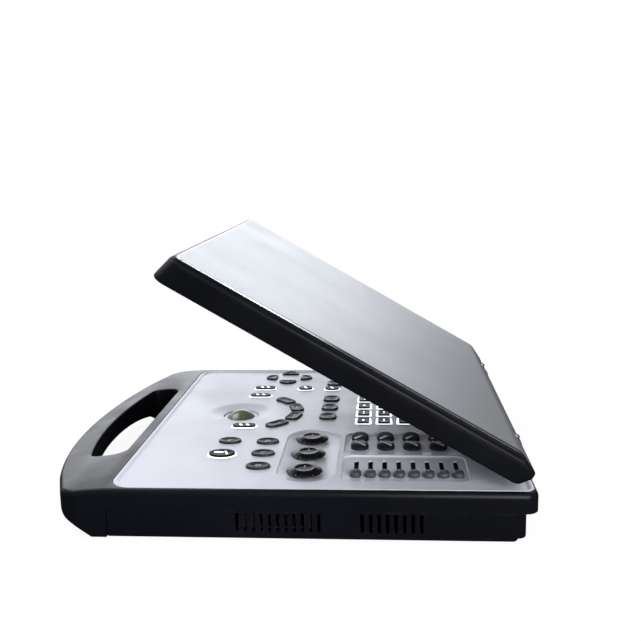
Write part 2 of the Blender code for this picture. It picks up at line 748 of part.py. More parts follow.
def make_control_panel():
    outline = panel_outline()
    panel = prism("control_panel", outline, PANEL_BOTTOM_Z, RIM_Z)
    boolean(panel, prism("lip_cut", grown(outline, -PANEL_LIP), PANEL_TOP_Z, CUT_Z[1], cutter=True))
    bowl_radius = DISH_RADIUS + 2 * MM
    bowl_bottom = PANEL_TOP_Z - DISH_DEPTH - 1 * MM
    bowl = turned(
        "bowl",
        [
            (0, PANEL_TOP_Z - 0.5 * MM),
            (bowl_radius, PANEL_TOP_Z - 0.5 * MM),
            (bowl_radius, PANEL_BOTTOM_Z - 0.4 * MM),
            (RING_RADIUS + 4 * MM, bowl_bottom),
            (0, bowl_bottom),
        ],
        24,
        cutter=True,
        location=(BALL_X, BALL_Y, 0),
    )
    boolean(panel, bowl, "UNION")
    sphere_radius = (DISH_RADIUS**2 + DISH_DEPTH**2) / (2 * DISH_DEPTH)
    rise = 2 * MM
    rim = math.sqrt(sphere_radius**2 - (sphere_radius - DISH_DEPTH - rise) ** 2)
    steps = 4
    reach = math.asin(rim / sphere_radius)
    dish_bottom = PANEL_TOP_Z - DISH_DEPTH
    turns = [reach * (1 - i / steps) for i in range(steps + 1)]
    dish_curve = [
        (sphere_radius * math.sin(a), dish_bottom + sphere_radius * (1 - math.cos(a))) for a in turns
    ]
    dish = turned(
        "dish_cut", [(0, PANEL_TOP_Z + rise), *dish_curve], 24, cutter=True, location=(BALL_X, BALL_Y, 0)
    )
    boolean(panel, dish)
    pocket_y = (POCKET_FRONT_Y, POCKET_REAR_Y)
    knob_pocket = arc((KNOB_POCKET_X[1], KNOB_POCKET_Y), KNOB_POCKET_RADIUS, -90, 90, 8)
    knob_pocket += arc((KNOB_POCKET_X[0], KNOB_POCKET_Y), KNOB_POCKET_RADIUS, 90, 270, 8)
    pockets = [
        prism("knob_pocket", knob_pocket, POCKET_Z, CUT_Z[1], cutter=True),
        prism("rocker_pocket", rounded_box(ROCKER_POCKET_X, pocket_y, 7 * MM), POCKET_Z, CUT_Z[1], cutter=True),
        prism("slider_pocket", rounded_box(SLIDER_POCKET_X, pocket_y, 7 * MM), POCKET_Z, CUT_Z[1], cutter=True),
    ]
    boolean(panel, joined("pocket_cuts", pockets))
    low, high = HOLE_Z
    middle, depth = (low + high) / 2, high - low
    holes = key_holes()
    for name, shape, centre, _ in BUTTONS:
        holes.append(prism("button_hole", moved(grown(shape, BUTTON_FIT), centre), low, high, cutter=True))
    for y in ROCKER_YS:
        shape = moved(grown(rocker_outline(), BUTTON_FIT), (ROCKER_X, y))
        holes.append(prism("rocker_hole", shape, low, high, cutter=True))
    for y in SLIDER_YS:
        slot_low = (SLIDER_X - SLIDER_TRAVEL - SLIDER_STEM[0] / 2 - 1 * MM, y - SLOT_WIDTH / 2, low)
        slot_high = (SLIDER_X + SLIDER_STEM[0] / 2 + 1 * MM, y + SLOT_WIDTH / 2, high)
        holes.append(block("slot", slot_low, slot_high, cutter=True))
    for x in KNOB_XS:
        shaft_hole = KNOB_SHAFT_RADIUS + 0.4 * MM
        holes.append(cylinder("shaft_hole", (x, KNOB_Y, middle), shaft_hole, depth, cutter=True))
    ring_hole = RING_RADIUS + GAP
    holes.append(cylinder("ring_hole", (BALL_X, BALL_Y, middle), ring_hole, depth, steps=24, cutter=True))
    for side in (-1, 1):
        x = sorted((side * (HINGE_X - BARREL_LENGTH / 2), side * (HINGE_X + BARREL_LENGTH / 2)))
        web_low = (x[0] - GAP, HINGE_Y - WEB_HALF - GAP, low)
        web_high = (x[1] + GAP, HINGE_Y + WEB_HALF + GAP, high)
        holes.append(block("web_slot", web_low, web_high, cutter=True))
    boolean(panel, joined("panel_holes", holes))
    return finish(panel, SILVER_PANEL)


def make_trackball():
    here = (BALL_X, BALL_Y, 0)
    bpy.ops.mesh.primitive_uv_sphere_add(segments=18, ring_count=10, radius=BALL_RADIUS)
    sphere = bpy.context.object
    mesh = sphere.data
    bpy.data.objects.remove(sphere)
    finish(place(mesh, "trackball", location=(BALL_X, BALL_Y, BALL_Z)), BALL_OLIVE)
    bottom = RING_TOP_Z - RING_THICKNESS
    inner_low = math.sqrt(BALL_RADIUS**2 - (bottom - BALL_Z) ** 2) + GAP
    inner_high = BALL_SHOW_RADIUS + GAP
    ring_profile = [
        (inner_high, RING_TOP_Z),
        (RING_RADIUS, RING_TOP_Z),
        (RING_RADIUS, bottom),
        (inner_low, bottom),
        (inner_high, RING_TOP_Z),
    ]
    finish(turned("trackball_ring", ring_profile, 24, location=here), SLIDER_GREY)
    seat = BALL_RADIUS + 0.9 * MM
    cup_outer = BALL_RADIUS + 2.6 * MM
    cup_top = bottom - 0.5 * MM
    cup_bottom = FLOOR_Z + GAP
    bowl = arc((0, BALL_Z), seat, 0, -90, 5)
    cup_profile = [
        (seat, cup_top),
        (cup_outer, cup_top),
        (cup_outer, cup_bottom),
        (0, cup_bottom),
    ]
    cup = turned("trackball_cup", [*cup_profile, *reversed(bowl), (seat, cup_top)], 16, location=here)
    return finish(cup, BUTTON_GREY)


def make_knobs():
    """Low knobs with a wide rim part way up and a smaller flat top."""
    base = POCKET_Z + GAP
    profile = [
        (0, base + 4.2 * MM),
        (7.9 * MM, base + 4.2 * MM),
        (12.4 * MM, base + 2.4 * MM),
        (12.9 * MM, base + 1.7 * MM),
        (10.6 * MM, base),
        (KNOB_SHAFT_RADIUS, base),
        (KNOB_SHAFT_RADIUS, FLANGE_BOTTOM_Z),
        (0, FLANGE_BOTTOM_Z),
    ]
    for i, x in enumerate(KNOB_XS):
        finish(turned(f"knob_{i + 1}", profile, 18, location=(x, KNOB_Y, 0)), KNOB_BLACK)


def make_sliders():
    base = POCKET_Z + GAP
    length, width, height = SLIDER_CAP
    for i, y in enumerate(SLIDER_YS):
        where = (SLIDER_X, y, 0)
        foot = rounded_box((-length / 2, length / 2), (-width / 2, width / 2), 2 * MM, 3)
        cap = prism(f"gain_slider_{i + 1}", foot, base, base + height, location=where)
        soften_top(cap, base + height, 0.9 * MM, 2)
        low = (-SLIDER_STEM[0] / 2, -SLIDER_STEM[1] / 2, FLANGE_BOTTOM_Z)
        high = (SLIDER_STEM[0] / 2, SLIDER_STEM[1] / 2, base + 1 * MM)
        boolean(cap, block("slider_stem", low, high, cutter=True, location=where), "UNION")
        finish(cap, SLIDER_GREY)


def make_rockers():
    outline = rocker_outline()
    for i, y in enumerate(ROCKER_YS):
        where = (ROCKER_X, y, ROCKER_PIVOT_Z)
        low, high = ROCKER_BOTTOM_Z - ROCKER_PIVOT_Z, ROCKER_TOP_Z - ROCKER_PIVOT_Z
        rocker = prism(f"rocker_{i + 1}", outline, low, high, location=where)
        soften_top(rocker, high, 1.2 * MM, 2)
        finish(rocker, BUTTON_GREY)


# ---------- lid ----------


def lid_y(s):
    return LID_AXIS_S - s


def lid_z(t):
    return t - LID_AXIS_T


def lid_block(name, x_range, s_range, t_range, lid, cutter=True):
    low = (x_range[0], lid_y(s_range[1]), lid_z(t_range[0]))
    high = (x_range[1], lid_y(s_range[0]), lid_z(t_range[1]))
    return block(name, low, high, cutter=cutter, parent=lid)


def slope_point(s, depth):
    """A point under the lid's sloping rear, depth below its surface at s, as (local y, local z)."""
    run, rise = SLOPE_S - LID_REAR_S, LID_THICKNESS - LID_REAR_T[1]
    length = math.hypot(run, rise)
    t = LID_THICKNESS - (SLOPE_S - s) * rise / run
    return lid_y(s + depth * rise / length), lid_z(t - depth * run / length)


def cover_profile(margin, top):
    """The cover in (y, z): flat, then bent down over the sloping rear. A cutter's reaches out to top."""
    depth = COVER_THICKNESS + margin
    rear_s = COVER_S[0] - margin
    bend = SLOPE_S + depth * math.tan(math.atan2(LID_THICKNESS - LID_REAR_T[1], SLOPE_S - LID_REAR_S) / 2)
    front = lid_y(COVER_S[1] + margin)
    return [
        (front, lid_z(LID_THICKNESS + top)),
        (front, lid_z(LID_THICKNESS - depth)),
        (lid_y(bend), lid_z(LID_THICKNESS - depth)),
        slope_point(rear_s, depth),
        slope_point(rear_s, -top),
        (lid_y(SLOPE_S), lid_z(LID_THICKNESS + top)),
    ]


def cover_solid(name, margin, top, lid, cutter=False):
    reach = COVER_SIDE + margin
    solid = prism(name, cover_profile(margin, top), -reach, reach, along="X", parent=lid, cutter=cutter)
    y_range = (lid_y(COVER_S[1] + margin), lid_y(COVER_S[0] - 10 * MM))
    plan = rounded_box((-reach, reach), y_range, COVER_RADIUS)
    whole = prism(f"{name}_plan", plan, -CUT_Z[1], CUT_Z[1], cutter=True, parent=lid)
    boolean(solid, whole, "INTERSECT")
    return solid


def hinge_notches(lid):
    """Cutters for the two gaps in the lid's rear edge where the hinges stand, and the x of each leaf."""
    notches, leaves = [], []
    for side in (-1, 1):
        inner = HINGE_X - BARREL_LENGTH / 2 - 1 * MM
        outer = HINGE_X + BARREL_LENGTH / 2 + ARM_SPACE
        x_range = sorted((side * inner, side * outer))
        notches.append(lid_block("hinge_notch", x_range, (-10 * MM, NOTCH_S), (-5 * MM, 30 * MM), lid))
        leaves.append(sorted((side * (outer - ARM_SPACE), side * outer)))
    return notches, leaves


def make_lid_frame(lid):
    """Side profile, cross-section and plan, each extruded, meet in the lid's outer form."""
    (bend_s, bend_t), (top_s, top_t) = LID_FRONT
    side_profile = filleted(
        [
            (lid_y(LID_LENGTH), lid_z(0), 2.5 * MM),
            (lid_y(4.8 * MM), lid_z(0), 5 * MM),
            (lid_y(LID_REAR_S), lid_z(LID_REAR_T[0]), 3 * MM),
            (lid_y(LID_REAR_S), lid_z(LID_REAR_T[1]), 2.2 * MM),
            (lid_y(SLOPE_S), lid_z(LID_THICKNESS), 0),
            (lid_y(top_s), lid_z(top_t), 0),
            (lid_y(bend_s), lid_z(bend_t), 0),
        ],
        5,
    )
    frame = prism("lid_frame", side_profile, -SIDE, SIDE, along="X", parent=lid)
    right = [(SIDE - LID_UNDER_CHAMFER, lid_z(0)), (SIDE, lid_z(LID_UNDER_CHAMFER))]
    right += [(x, lid_z(t)) for x, t in LID_STEP]
    left = [(-x, z) for x, z in reversed(right)]
    # The cutters below stand a little outside the sides, so that no faces coincide
    section = prism(
        "lid_section", grown(right + left, 0.01 * MM), -CUT_REACH, CUT_REACH, along="Y", cutter=True, parent=lid
    )
    boolean(frame, section, "INTERSECT")
    outside = 0.02 * MM
    edge = SIDE + outside
    rear_y, front_y = lid_y(LID_REAR_S - outside), lid_y(LID_LENGTH + outside)
    front_radius, rear_radius = LID_PLAN_RADII
    plan = filleted(
        [
            (edge, rear_y, rear_radius),
            (-edge, rear_y, rear_radius),
            (-edge, front_y, front_radius),
            (edge, front_y, front_radius),
        ],
        5,
    )
    boolean(frame, prism("lid_plan", plan, -CUT_Z[1], CUT_Z[1], cutter=True, parent=lid), "INTERSECT")
    module_x = (-MODULE_SIDE - 0.5 * MM, MODULE_SIDE + 0.5 * MM)
    module_s = (MODULE_S[0] - 3 * MM, MODULE_S[1] + 3 * MM)
    room_x = (-MODULE_SIDE, MODULE_SIDE)
    window_x = (-WINDOW_SIDE, WINDOW_SIDE)
    below = lid_z(0) - 5 * MM
    module_top = LID_THICKNESS - 2 * MM
    cuts = [
        cover_solid("cover_rebate", GAP, 6 * MM, lid, cutter=True),
        lid_block("module_space", module_x, module_s, (BEZEL_T[1], module_top), lid),
        lid_block("control_room", room_x, CONTROL_ROOM_S, (below, BEZEL_T[0]), lid),
        lid_block("screen_window", window_x, WINDOW_S, (below, BEZEL_T[1] + 3 * MM), lid),
    ]
    notches, leaves = hinge_notches(lid)
    cuts += notches
    for leaf_x in leaves:
        slot_t = (LEAF_T[0] - GAP, LEAF_T[1] + GAP)
        cuts.append(lid_block("leaf_slot", leaf_x, (5 * MM, LEAF_S + 0.4 * MM), slot_t, lid))
    for cut in cuts:
        boolean(frame, cut)
    return finish(frame, BLACK)


def make_lid_cover(lid):
    cover = cover_solid("lid_cover", 0, 0, lid)
    for notch in hinge_notches(lid)[0]:
        boolean(cover, notch)
    return finish(cover, SILVER_COVER)


def make_lcd_module(lid):
    low = BEZEL_T[1] + GAP
    module = lid_block(
        "lcd_module", (-MODULE_SIDE, MODULE_SIDE), MODULE_S, (low, low + MODULE_THICKNESS), lid, cutter=False
    )
    return finish(module, SCREEN)


def make_hinge(side, word, lid):
    """A barrel standing on the frame's ledge, and the arm whose shaft turns in it with the lid."""
    inner, outer = side * (HINGE_X - BARREL_LENGTH / 2), side * (HINGE_X + BARREL_LENGTH / 2)
    x_range = sorted((inner, outer))
    axis = (0, HINGE_Y, HINGE_Z)
    bracket = cylinder(
        f"hinge_bracket_{word}", (side * HINGE_X, 0, 0), BARREL_RADIUS, BARREL_LENGTH, "X", location=axis
    )
    web = block(
        "hinge_web",
        (x_range[0], HINGE_Y - WEB_HALF, LEDGE_Z + GAP),
        (x_range[1], HINGE_Y + WEB_HALF, HINGE_Z - 1 * MM),
        cutter=True,
    )
    boolean(bracket, web, "UNION")
    bore = cylinder("hinge_bore", (side * HINGE_X, 0, 0), BORE_RADIUS, 0.03, "X", cutter=True, location=axis)
    boolean(bracket, bore)
    finish(bracket, STEEL)

    disc_middle = outer + side * (GAP + ARM_THICKNESS / 2)
    arm = cylinder(
        f"hinge_arm_{word}", (disc_middle, 0, 0), BARREL_RADIUS - GAP, ARM_THICKNESS, "X", parent=lid
    )
    shaft_end = inner + side * GAP
    shaft_middle = (shaft_end + disc_middle) / 2
    shaft_length = abs(disc_middle - shaft_end)
    shaft = cylinder(
        "hinge_shaft", (shaft_middle, 0, 0), SHAFT_RADIUS, shaft_length, "X", cutter=True, parent=lid
    )
    boolean(arm, shaft, "UNION")
    leaf_x = sorted((disc_middle - ARM_THICKNESS / 2, disc_middle + ARM_THICKNESS / 2))
    leaf = lid_block("hinge_leaf", leaf_x, (LID_AXIS_S, LEAF_S), LEAF_T, lid)
    boolean(arm, leaf, "UNION")
    finish(arm, STEEL)


# ---------- inside the base and on its far sides ----------


def make_boards():
    control = block(
        "control_board",
        (-150 * MM, -106 * MM, CONTROL_BOARD_Z),
        (150 * MM, 160 * MM, CONTROL_BOARD_Z + BOARD_THICKNESS),
    )
    hole_radius = BALL_RADIUS + 3.4 * MM
    here = (BALL_X, BALL_Y, CONTROL_BOARD_Z)
    boolean(control, cylinder("cup_hole", here, hole_radius, 0.01, cutter=True))
    finish(control, BOARD_GREEN)
    main = block(
        "main_board",
        (-60 * MM, 32 * MM, MAIN_BOARD_Z),
        (100 * MM, 155 * MM, MAIN_BOARD_Z + BOARD_THICKNESS),
    )
    chips = []
    for x, y, half, height in ((0, 95, 16, 6), (55, 70, 11, 3), (55, 115, 11, 3), (-35, 75, 8, 4)):
        low = (x * MM - half * MM, y * MM - half * MM, MAIN_BOARD_Z + 1 * MM)
        high = (x * MM + half * MM, y * MM + half * MM, MAIN_BOARD_Z + BOARD_THICKNESS + height * MM)
        chips.append(block("chip", low, high, cutter=True))
    boolean(main, joined("chips", chips), "UNION")
    finish(main, BOARD_GREEN)


def make_battery():
    outline = rounded_box((-156 * MM, -76 * MM), (20 * MM, 150 * MM), 3 * MM, 3)
    finish(prism("battery_pack", outline, FLOOR_Z + GAP, 21.5 * MM), BATTERY_GREY)


def make_fan():
    half = FAN_SIDE / 2
    here = (FAN_X, FAN_Y, 0)
    low, high = FAN_Z
    housing = prism(
        "fan_housing", rounded_box((-half, half), (-half, half), 3 * MM, 3), low, high, location=here
    )
    rotor_radius = 21 * MM
    cavity_radius = rotor_radius + 1.5 * MM
    cavity_low = low + 1.2 * MM
    cavity_high = high + 5 * MM
    cavity = cylinder(
        "fan_cavity", (0, 0, (cavity_low + cavity_high) / 2), cavity_radius, cavity_high - cavity_low, steps=24,
        cutter=True, location=here,
    )
    boolean(housing, cavity)
    outlet = block(
        "fan_outlet", (0, -17 * MM, cavity_low), (half + 1 * MM, 17 * MM, high - 1.5 * MM),
        cutter=True, location=here,
    )
    boolean(housing, outlet)
    pin_low, pin_high = low + 0.5 * MM, high - 4 * MM
    pin = cylinder(
        "fan_pin", (0, 0, (pin_low + pin_high) / 2), 1.5 * MM, pin_high - pin_low, steps=16,
        cutter=True, location=here,
    )
    boolean(housing, pin, "UNION")
    finish(housing, BLACK)

    hub_low, hub_high = cavity_low + 0.5 * MM, high - 1 * MM
    hub_radius = 9 * MM
    rotor = cylinder(
        "fan_impeller", (0, 0, (hub_low + hub_high) / 2), hub_radius, hub_high - hub_low, location=here
    )
    bore_top = high - 3 * MM
    bore_height = bore_top - hub_low + 2 * MM
    bore = cylinder(
        "rotor_bore", (0, 0, bore_top - bore_height / 2), 1.9 * MM, bore_height, steps=16,
        cutter=True, location=here,
    )
    blades = []
    for i in range(FAN_BLADES):
        blade = block(
            "blade", (hub_radius - 1.5 * MM, -0.5 * MM, hub_low + 1 * MM),
            (rotor_radius, 0.5 * MM, hub_high - 1 * MM), cutter=True, location=here,
        )
        blade.data.transform(Matrix.Rotation(2 * math.pi * i / FAN_BLADES, 4, "Z"))
        blades.append(blade)
    boolean(rotor, joined("blades", blades), "UNION")
    boolean(rotor, bore)
    finish(rotor, BUTTON_GREY)


def make_probe_socket():
    low = (-SIDE + PROBE_FACE_DEPTH, PROBE_Y[0], PROBE_Z[0])
    socket = block("probe_socket", low, (PROBE_INNER_X, PROBE_Y[1], PROBE_Z[1]))
    recess_y = (PROBE_Y[0] + 4 * MM, PROBE_Y[1] - 4 * MM)
    recess_z = (PROBE_Z[0] + 3 * MM, PROBE_Z[1] - 3 * MM)
    recess = rounded_box(recess_y, recess_z, 3 * MM, 3)
    boolean(socket, prism("socket_recess", recess, -CUT_REACH, PROBE_RECESS_X, along="X", cutter=True))
    finish(socket, BUTTON_GREY)


def make_io_plate():
    rear = SHELL_REAR_Y - 0.5 * MM
    plate = block("rear_io_plate", (-IO_HALF, rear - 2 * MM, IO_Z[0]), (IO_HALF, rear, IO_Z[1]))
    middle_z = (IO_Z[0] + IO_Z[1]) / 2
    ports = []
    for x, width, height in ((-46, 9, 9), (-24, 17, 8), (0, 14, 6), (20, 14, 6), (44, 16, 8)):
        low = ((x - width / 2) * MM, rear - 5 * MM, middle_z - height / 2 * MM)
        high = ((x + width / 2) * MM, rear + 5 * MM, middle_z + height / 2 * MM)
        ports.append(block("port", low, high, cutter=True))
    boolean(plate, joined("ports", ports))
    finish(plate, STEEL)


def stand_on_origin():
    """Moves everything so that the middle of the footprint, on the table, is the origin."""
    bpy.context.view_layer.update()
    move = Vector((0, -(HANDLE_FRONT_Y + REAR_Y) / 2, -TABLE_Z))
    for obj in [*PARTS.objects, *CUTTERS.objects]:
        if obj.parent is None:
            obj.location += move


def build():
    make_bottom_shell()
    make_upper_frame()
    make_feet()
    make_control_panel()
    make_buttons()
    make_keypad_mat()
    make_trackball()
    make_knobs()
    make_sliders()
    make_rockers()
    lid = empty("lid_hinge_axis", (0, HINGE_Y, HINGE_Z), -LID_ANGLE)
    make_lid_frame(lid)
    make_lid_cover(lid)
    make_lcd_module(lid)
    make_hinge(-1, "left", lid)
    make_hinge(1, "right", lid)
    make_boards()
    make_battery()
    make_fan()
    make_probe_socket()
    make_io_plate()
    stand_on_origin()


build()
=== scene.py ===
"""Looks of the clamshell ultrasound scanner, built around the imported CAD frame.

Every piece is modelled in place at rest, in metres, and rides on the CAD body of the node it stands for.
Base pieces are measured from a datum inside the casing, and lid pieces from the hinge axis with the
lid closed. publish() then moves each to its place in the frame.
"""

import json
import math

import bmesh
import bpy
from mathutils import Matrix, Vector


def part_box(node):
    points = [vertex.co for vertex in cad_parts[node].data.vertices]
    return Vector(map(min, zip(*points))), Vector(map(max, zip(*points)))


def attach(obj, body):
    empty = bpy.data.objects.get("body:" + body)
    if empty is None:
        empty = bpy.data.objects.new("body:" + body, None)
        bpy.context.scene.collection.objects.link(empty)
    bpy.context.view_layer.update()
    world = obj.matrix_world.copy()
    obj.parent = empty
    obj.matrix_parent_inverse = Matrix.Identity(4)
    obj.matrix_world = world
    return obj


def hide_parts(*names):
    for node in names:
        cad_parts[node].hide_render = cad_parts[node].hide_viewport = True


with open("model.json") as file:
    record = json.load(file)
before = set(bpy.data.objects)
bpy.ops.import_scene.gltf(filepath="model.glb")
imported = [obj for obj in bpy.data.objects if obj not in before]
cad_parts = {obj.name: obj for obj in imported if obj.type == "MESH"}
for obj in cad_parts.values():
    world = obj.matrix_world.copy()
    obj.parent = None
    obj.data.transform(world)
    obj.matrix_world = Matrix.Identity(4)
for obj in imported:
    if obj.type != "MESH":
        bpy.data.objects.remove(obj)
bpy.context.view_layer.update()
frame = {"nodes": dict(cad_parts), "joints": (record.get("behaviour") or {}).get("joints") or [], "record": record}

MM = 0.001
GAP = 0.3 * MM
DATUM = Vector((0, 6 * MM, 2 * MM))

NODE_BODY = {n: body for body, nodes in frame["record"]["behaviour"]["bodies"].items() for n in nodes}
JOINTS = {joint["name"]: joint for joint in frame["joints"]}


def box(node):
    """Lowest and highest corner of a node, measured from the base's datum."""
    low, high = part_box(node)
    return low - DATUM, high - DATUM


def middle(node):
    low, high = box(node)
    return (low + high) / 2


# ---------- sizes taken from the frame ----------

FRAME_LOW, FRAME_HIGH = box("upper_frame")
SHELL_LOW, SHELL_HIGH = box("bottom_shell")
PANEL_LOW, PANEL_HIGH = box("control_panel")
SIDE = FRAME_HIGH.x
RIM_Z = FRAME_HIGH.z
SEAM_Z = 18 * MM
FRONT_Y = SHELL_LOW.y - GAP
REAR_Y = FRAME_HIGH.y
SHELL_REAR_Y = SHELL_HIGH.y
LEDGE_Z = 28.2 * MM
PANEL_BOTTOM_Z = LEDGE_Z + GAP
PANEL_TOP_Z = RIM_Z - 1.3 * MM
POCKET_Z = PANEL_TOP_Z - 1.2 * MM
BUTTON_TOP_Z = box("menu_button_1")[1].z
FLANGE_LIP = 1 * MM
FLANGE_TOP_Z = PANEL_BOTTOM_Z - GAP
BUTTON_FIT = 0.35 * MM
BALL = middle("trackball")
BALL_RADIUS = (box("trackball")[1].z - box("trackball")[0].z) / 2

HINGE_PLACE = Vector(JOINTS["lid_hinge"]["pos_m"])
HINGE = HINGE_PLACE - DATUM
HINGE_AXIS = Vector(JOINTS["lid_hinge"]["axis"])
LID_ANGLE = -math.radians(JOINTS["lid_hinge"]["range_deg"][0])
# The lid is modelled closed, with the hinge axis at its origin, and then turned to its rest angle.
LID_PLACE = Matrix.Translation(HINGE_PLACE) @ Matrix.Rotation(LID_ANGLE, 4, HINGE_AXIS)


def lid_box(node):
    """Lowest and highest corner of a lid node in the closed lid's own frame."""
    inverse = LID_PLACE.inverted()
    points = [inverse @ v.co for v in frame["nodes"][node].data.vertices]
    return tuple(Vector([end(p[i] for p in points) for i in range(3)]) for end in (min, max))


LID_LOW, LID_HIGH = lid_box("lid_frame")
LID_THICKNESS = LID_HIGH.z - LID_LOW.z
LID_REAR_S = -1.3 * MM


def lid_y(s):
    """Local y of a point s forward of the lid's datum, which is just inside its rear edge."""
    return LID_HIGH.y + LID_REAR_S - s


def lid_z(t):
    """Local z of a point t above the lid's screen side."""
    return LID_LOW.z + t


# ---------- outlines, as lists of (x, y) running anticlockwise ----------


def arc(centre, radius, start, end, steps):
    angles = [math.radians(start + (end - start) * i / steps) for i in range(steps + 1)]
    return [(centre[0] + radius * math.cos(a), centre[1] + radius * math.sin(a)) for a in angles]


def ellipse(half_x, half_y, steps=48):
    turns = [2 * math.pi * i / steps for i in range(steps)]
    return [(half_x * math.cos(a), half_y * math.sin(a)) for a in turns]


def filleted(corners, steps=8):
    """A closed outline through corners (x, y, radius), each rounded by an arc of its radius."""
    points = []
    for i, (x, y, radius) in enumerate(corners):
        corner = Vector((x, y))
        if radius == 0:
            points.append((x, y))
            continue
        before = (Vector(corners[i - 1][:2]) - corner).normalized()
        after = (Vector(corners[(i + 1) % len(corners)][:2]) - corner).normalized()
        half = before.angle(after) / 2
        centre = corner + (before + after).normalized() * (radius / math.sin(half))
        start = corner + before * (radius / math.tan(half)) - centre
        end = corner + after * (radius / math.tan(half)) - centre
        first = math.atan2(start.y, start.x)
        sweep = (math.atan2(end.y, end.x) - first + math.pi) % (2 * math.pi) - math.pi
        points += arc(centre, radius, math.degrees(first), math.degrees(first + sweep), steps)
    return points


def rounded_box(x_range, y_range, radius, steps=8):
    (x0, x1), (y0, y1) = x_range, y_range
    return filleted([(x, y, radius) for x, y in ((x1, y1), (x0, y1), (x0, y0), (x1, y0))], steps)


def box_about(x, y, half_x, half_y, radius, steps=8):
    return rounded_box((x - half_x, x + half_x), (y - half_y, y + half_y), radius, steps)


def grown(outline, margin):
    """The outline moved outwards by margin, with mitred corners."""
    points = []
    count = len(outline)
    for i in range(count):
        here = Vector(outline[i])
        back = (here - Vector(outline[i - 1])).normalized()
        ahead = (Vector(outline[(i + 1) % count]) - here).normalized()
        first, second = Vector((back.y, -back.x)), Vector((ahead.y, -ahead.x))
        corner = here + (first + second) * (margin / (1 + first.dot(second)))
        points.append((corner.x, corner.y))
    return points


def scaled(outline, share):
    cx = sum(x for x, _ in outline) / len(outline)
    cy = sum(y for _, y in outline) / len(outline)
    return [(cx + (x - cx) * share, cy + (y - cy) * share) for x, y in outline]


def turned_outline(outline, degrees):
    c, s = math.cos(math.radians(degrees)), math.sin(math.radians(degrees))
    return [(x * c - y * s, x * s + y * c) for x, y in outline]


def moved(outline, x, y):
    return [(px + x, py + y) for px, py in outline]


# ---------- mesh building ----------


def stack(bm, rings, slot=0, closed=False):
    """Skins rings of equally many 3D points. Both ends are capped, or the last ring joins the first."""
    loops = [[bm.verts.new(p) for p in ring] for ring in rings]
    count = len(loops[0])
    pairs = list(zip(loops, loops[1:]))
    if closed:
        pairs.append((loops[-1], loops[0]))
    faces = []
    for lower, upper in pairs:
        for i in range(count):
            j = (i + 1) % count
            faces.append(bm.faces.new((lower[i], lower[j], upper[j], upper[i])))
    if not closed:
        faces.append(bm.faces.new(list(reversed(loops[0]))))
        faces.append(bm.faces.new(loops[-1]))
    for face in faces:
        face.material_index = slot
    return faces


def at_level(outline, z):
    return [(x, y, z) for x, y in outline]


def slab(bm, outline, low, high, slot=0):
    return stack(bm, [at_level(outline, low), at_level(outline, high)], slot)


def rounded_rim(outline, high, width, drop, steps):
    """Rings that round an edge: over the last drop below high, the outline shrinks by width."""
    rings = []
    for i in range(steps + 1):
        a = math.pi / 2 * i / steps
        rings.append(at_level(grown(outline, -width * (1 - math.cos(a))), high - drop + drop * math.sin(a)))
    return rings


def round_cap(bm, outline, low, high, edge, dish=0.0, slot=0, steps=5, dish_rings=6):
    """A cap with a rounded top edge, whose top sinks by dish towards its middle."""
    rings = [at_level(outline, low), *rounded_rim(outline, high, edge, edge, steps)]
    rim = grown(outline, -edge)
    for i in range(1, dish_rings):
        share = 1 - i / dish_rings
        rings.append(at_level(scaled(rim, share), high - dish * (1 - share**2)))
    return stack(bm, rings, slot)


def turned(bm, profile, centre, steps=64, slot=0, closed=False, scallop=None):
    """A profile of (radius, z) turned about Z. scallop(radius, angle) changes the radius."""
    rings = []
    for radius, z in profile:
        ring = []
        for i in range(steps):
            a = 2 * math.pi * i / steps
            r = scallop(radius, a) if scallop else radius
            ring.append((centre[0] + r * math.cos(a), centre[1] + r * math.sin(a), z))
        rings.append(ring)
    return stack(bm, rings, slot, closed)


def rod(bm, start, end, radius, steps=48, edge=0.4 * MM, slot=0):
    """A round bar along X between two points, with softened ends."""
    x0, x1 = sorted((start[0], end[0]))
    stops = [(x0, radius - edge), (x0 + edge, radius), (x1 - edge, radius), (x1, radius - edge)]
    rings = []
    for x, r in stops:
        turns = [2 * math.pi * i / steps for i in range(steps)]
        rings.append([(x, start[1] + r * math.cos(a), start[2] + r * math.sin(a)) for a in turns])
    return stack(bm, rings, slot)


def brick(bm, low, high, slot=0, edge=0.0):
    """A box between two corners, its plan corners and top edge softened by edge."""
    if edge == 0.0:
        outline = [(high[0], high[1]), (low[0], high[1]), (low[0], low[1]), (high[0], low[1])]
        return slab(bm, outline, low[2], high[2], slot)
    outline = rounded_box((low[0], high[0]), (low[1], high[1]), edge, 4)
    return round_cap(bm, outline, low[2], high[2], edge * 0.6, slot=slot, steps=3, dish_rings=1)


MARK_DEPTH = 0.35 * MM


def bar(bm, x, y, z, length, width, degrees=0.0, slot=1, thickness=MARK_DEPTH):
    """A thin printed mark, its top at z, with rounded ends."""
    half = width / 2 - 0.01 * MM
    outline = box_about(0, 0, length / 2, width / 2, half, 3)
    return slab(bm, moved(turned_outline(outline, degrees), x, y), z - thickness, z, slot)


def solid(build, *details, **more):
    """An object whose mesh build(bm, *details, **more) makes."""
    bm = bmesh.new()
    build(bm, *details, **more)
    bmesh.ops.recalc_face_normals(bm, faces=bm.faces)
    mesh = bpy.data.meshes.new("shape")
    bm.to_mesh(mesh)
    bm.free()
    obj = bpy.data.objects.new("shape", mesh)
    bpy.context.scene.collection.objects.link(obj)
    return obj


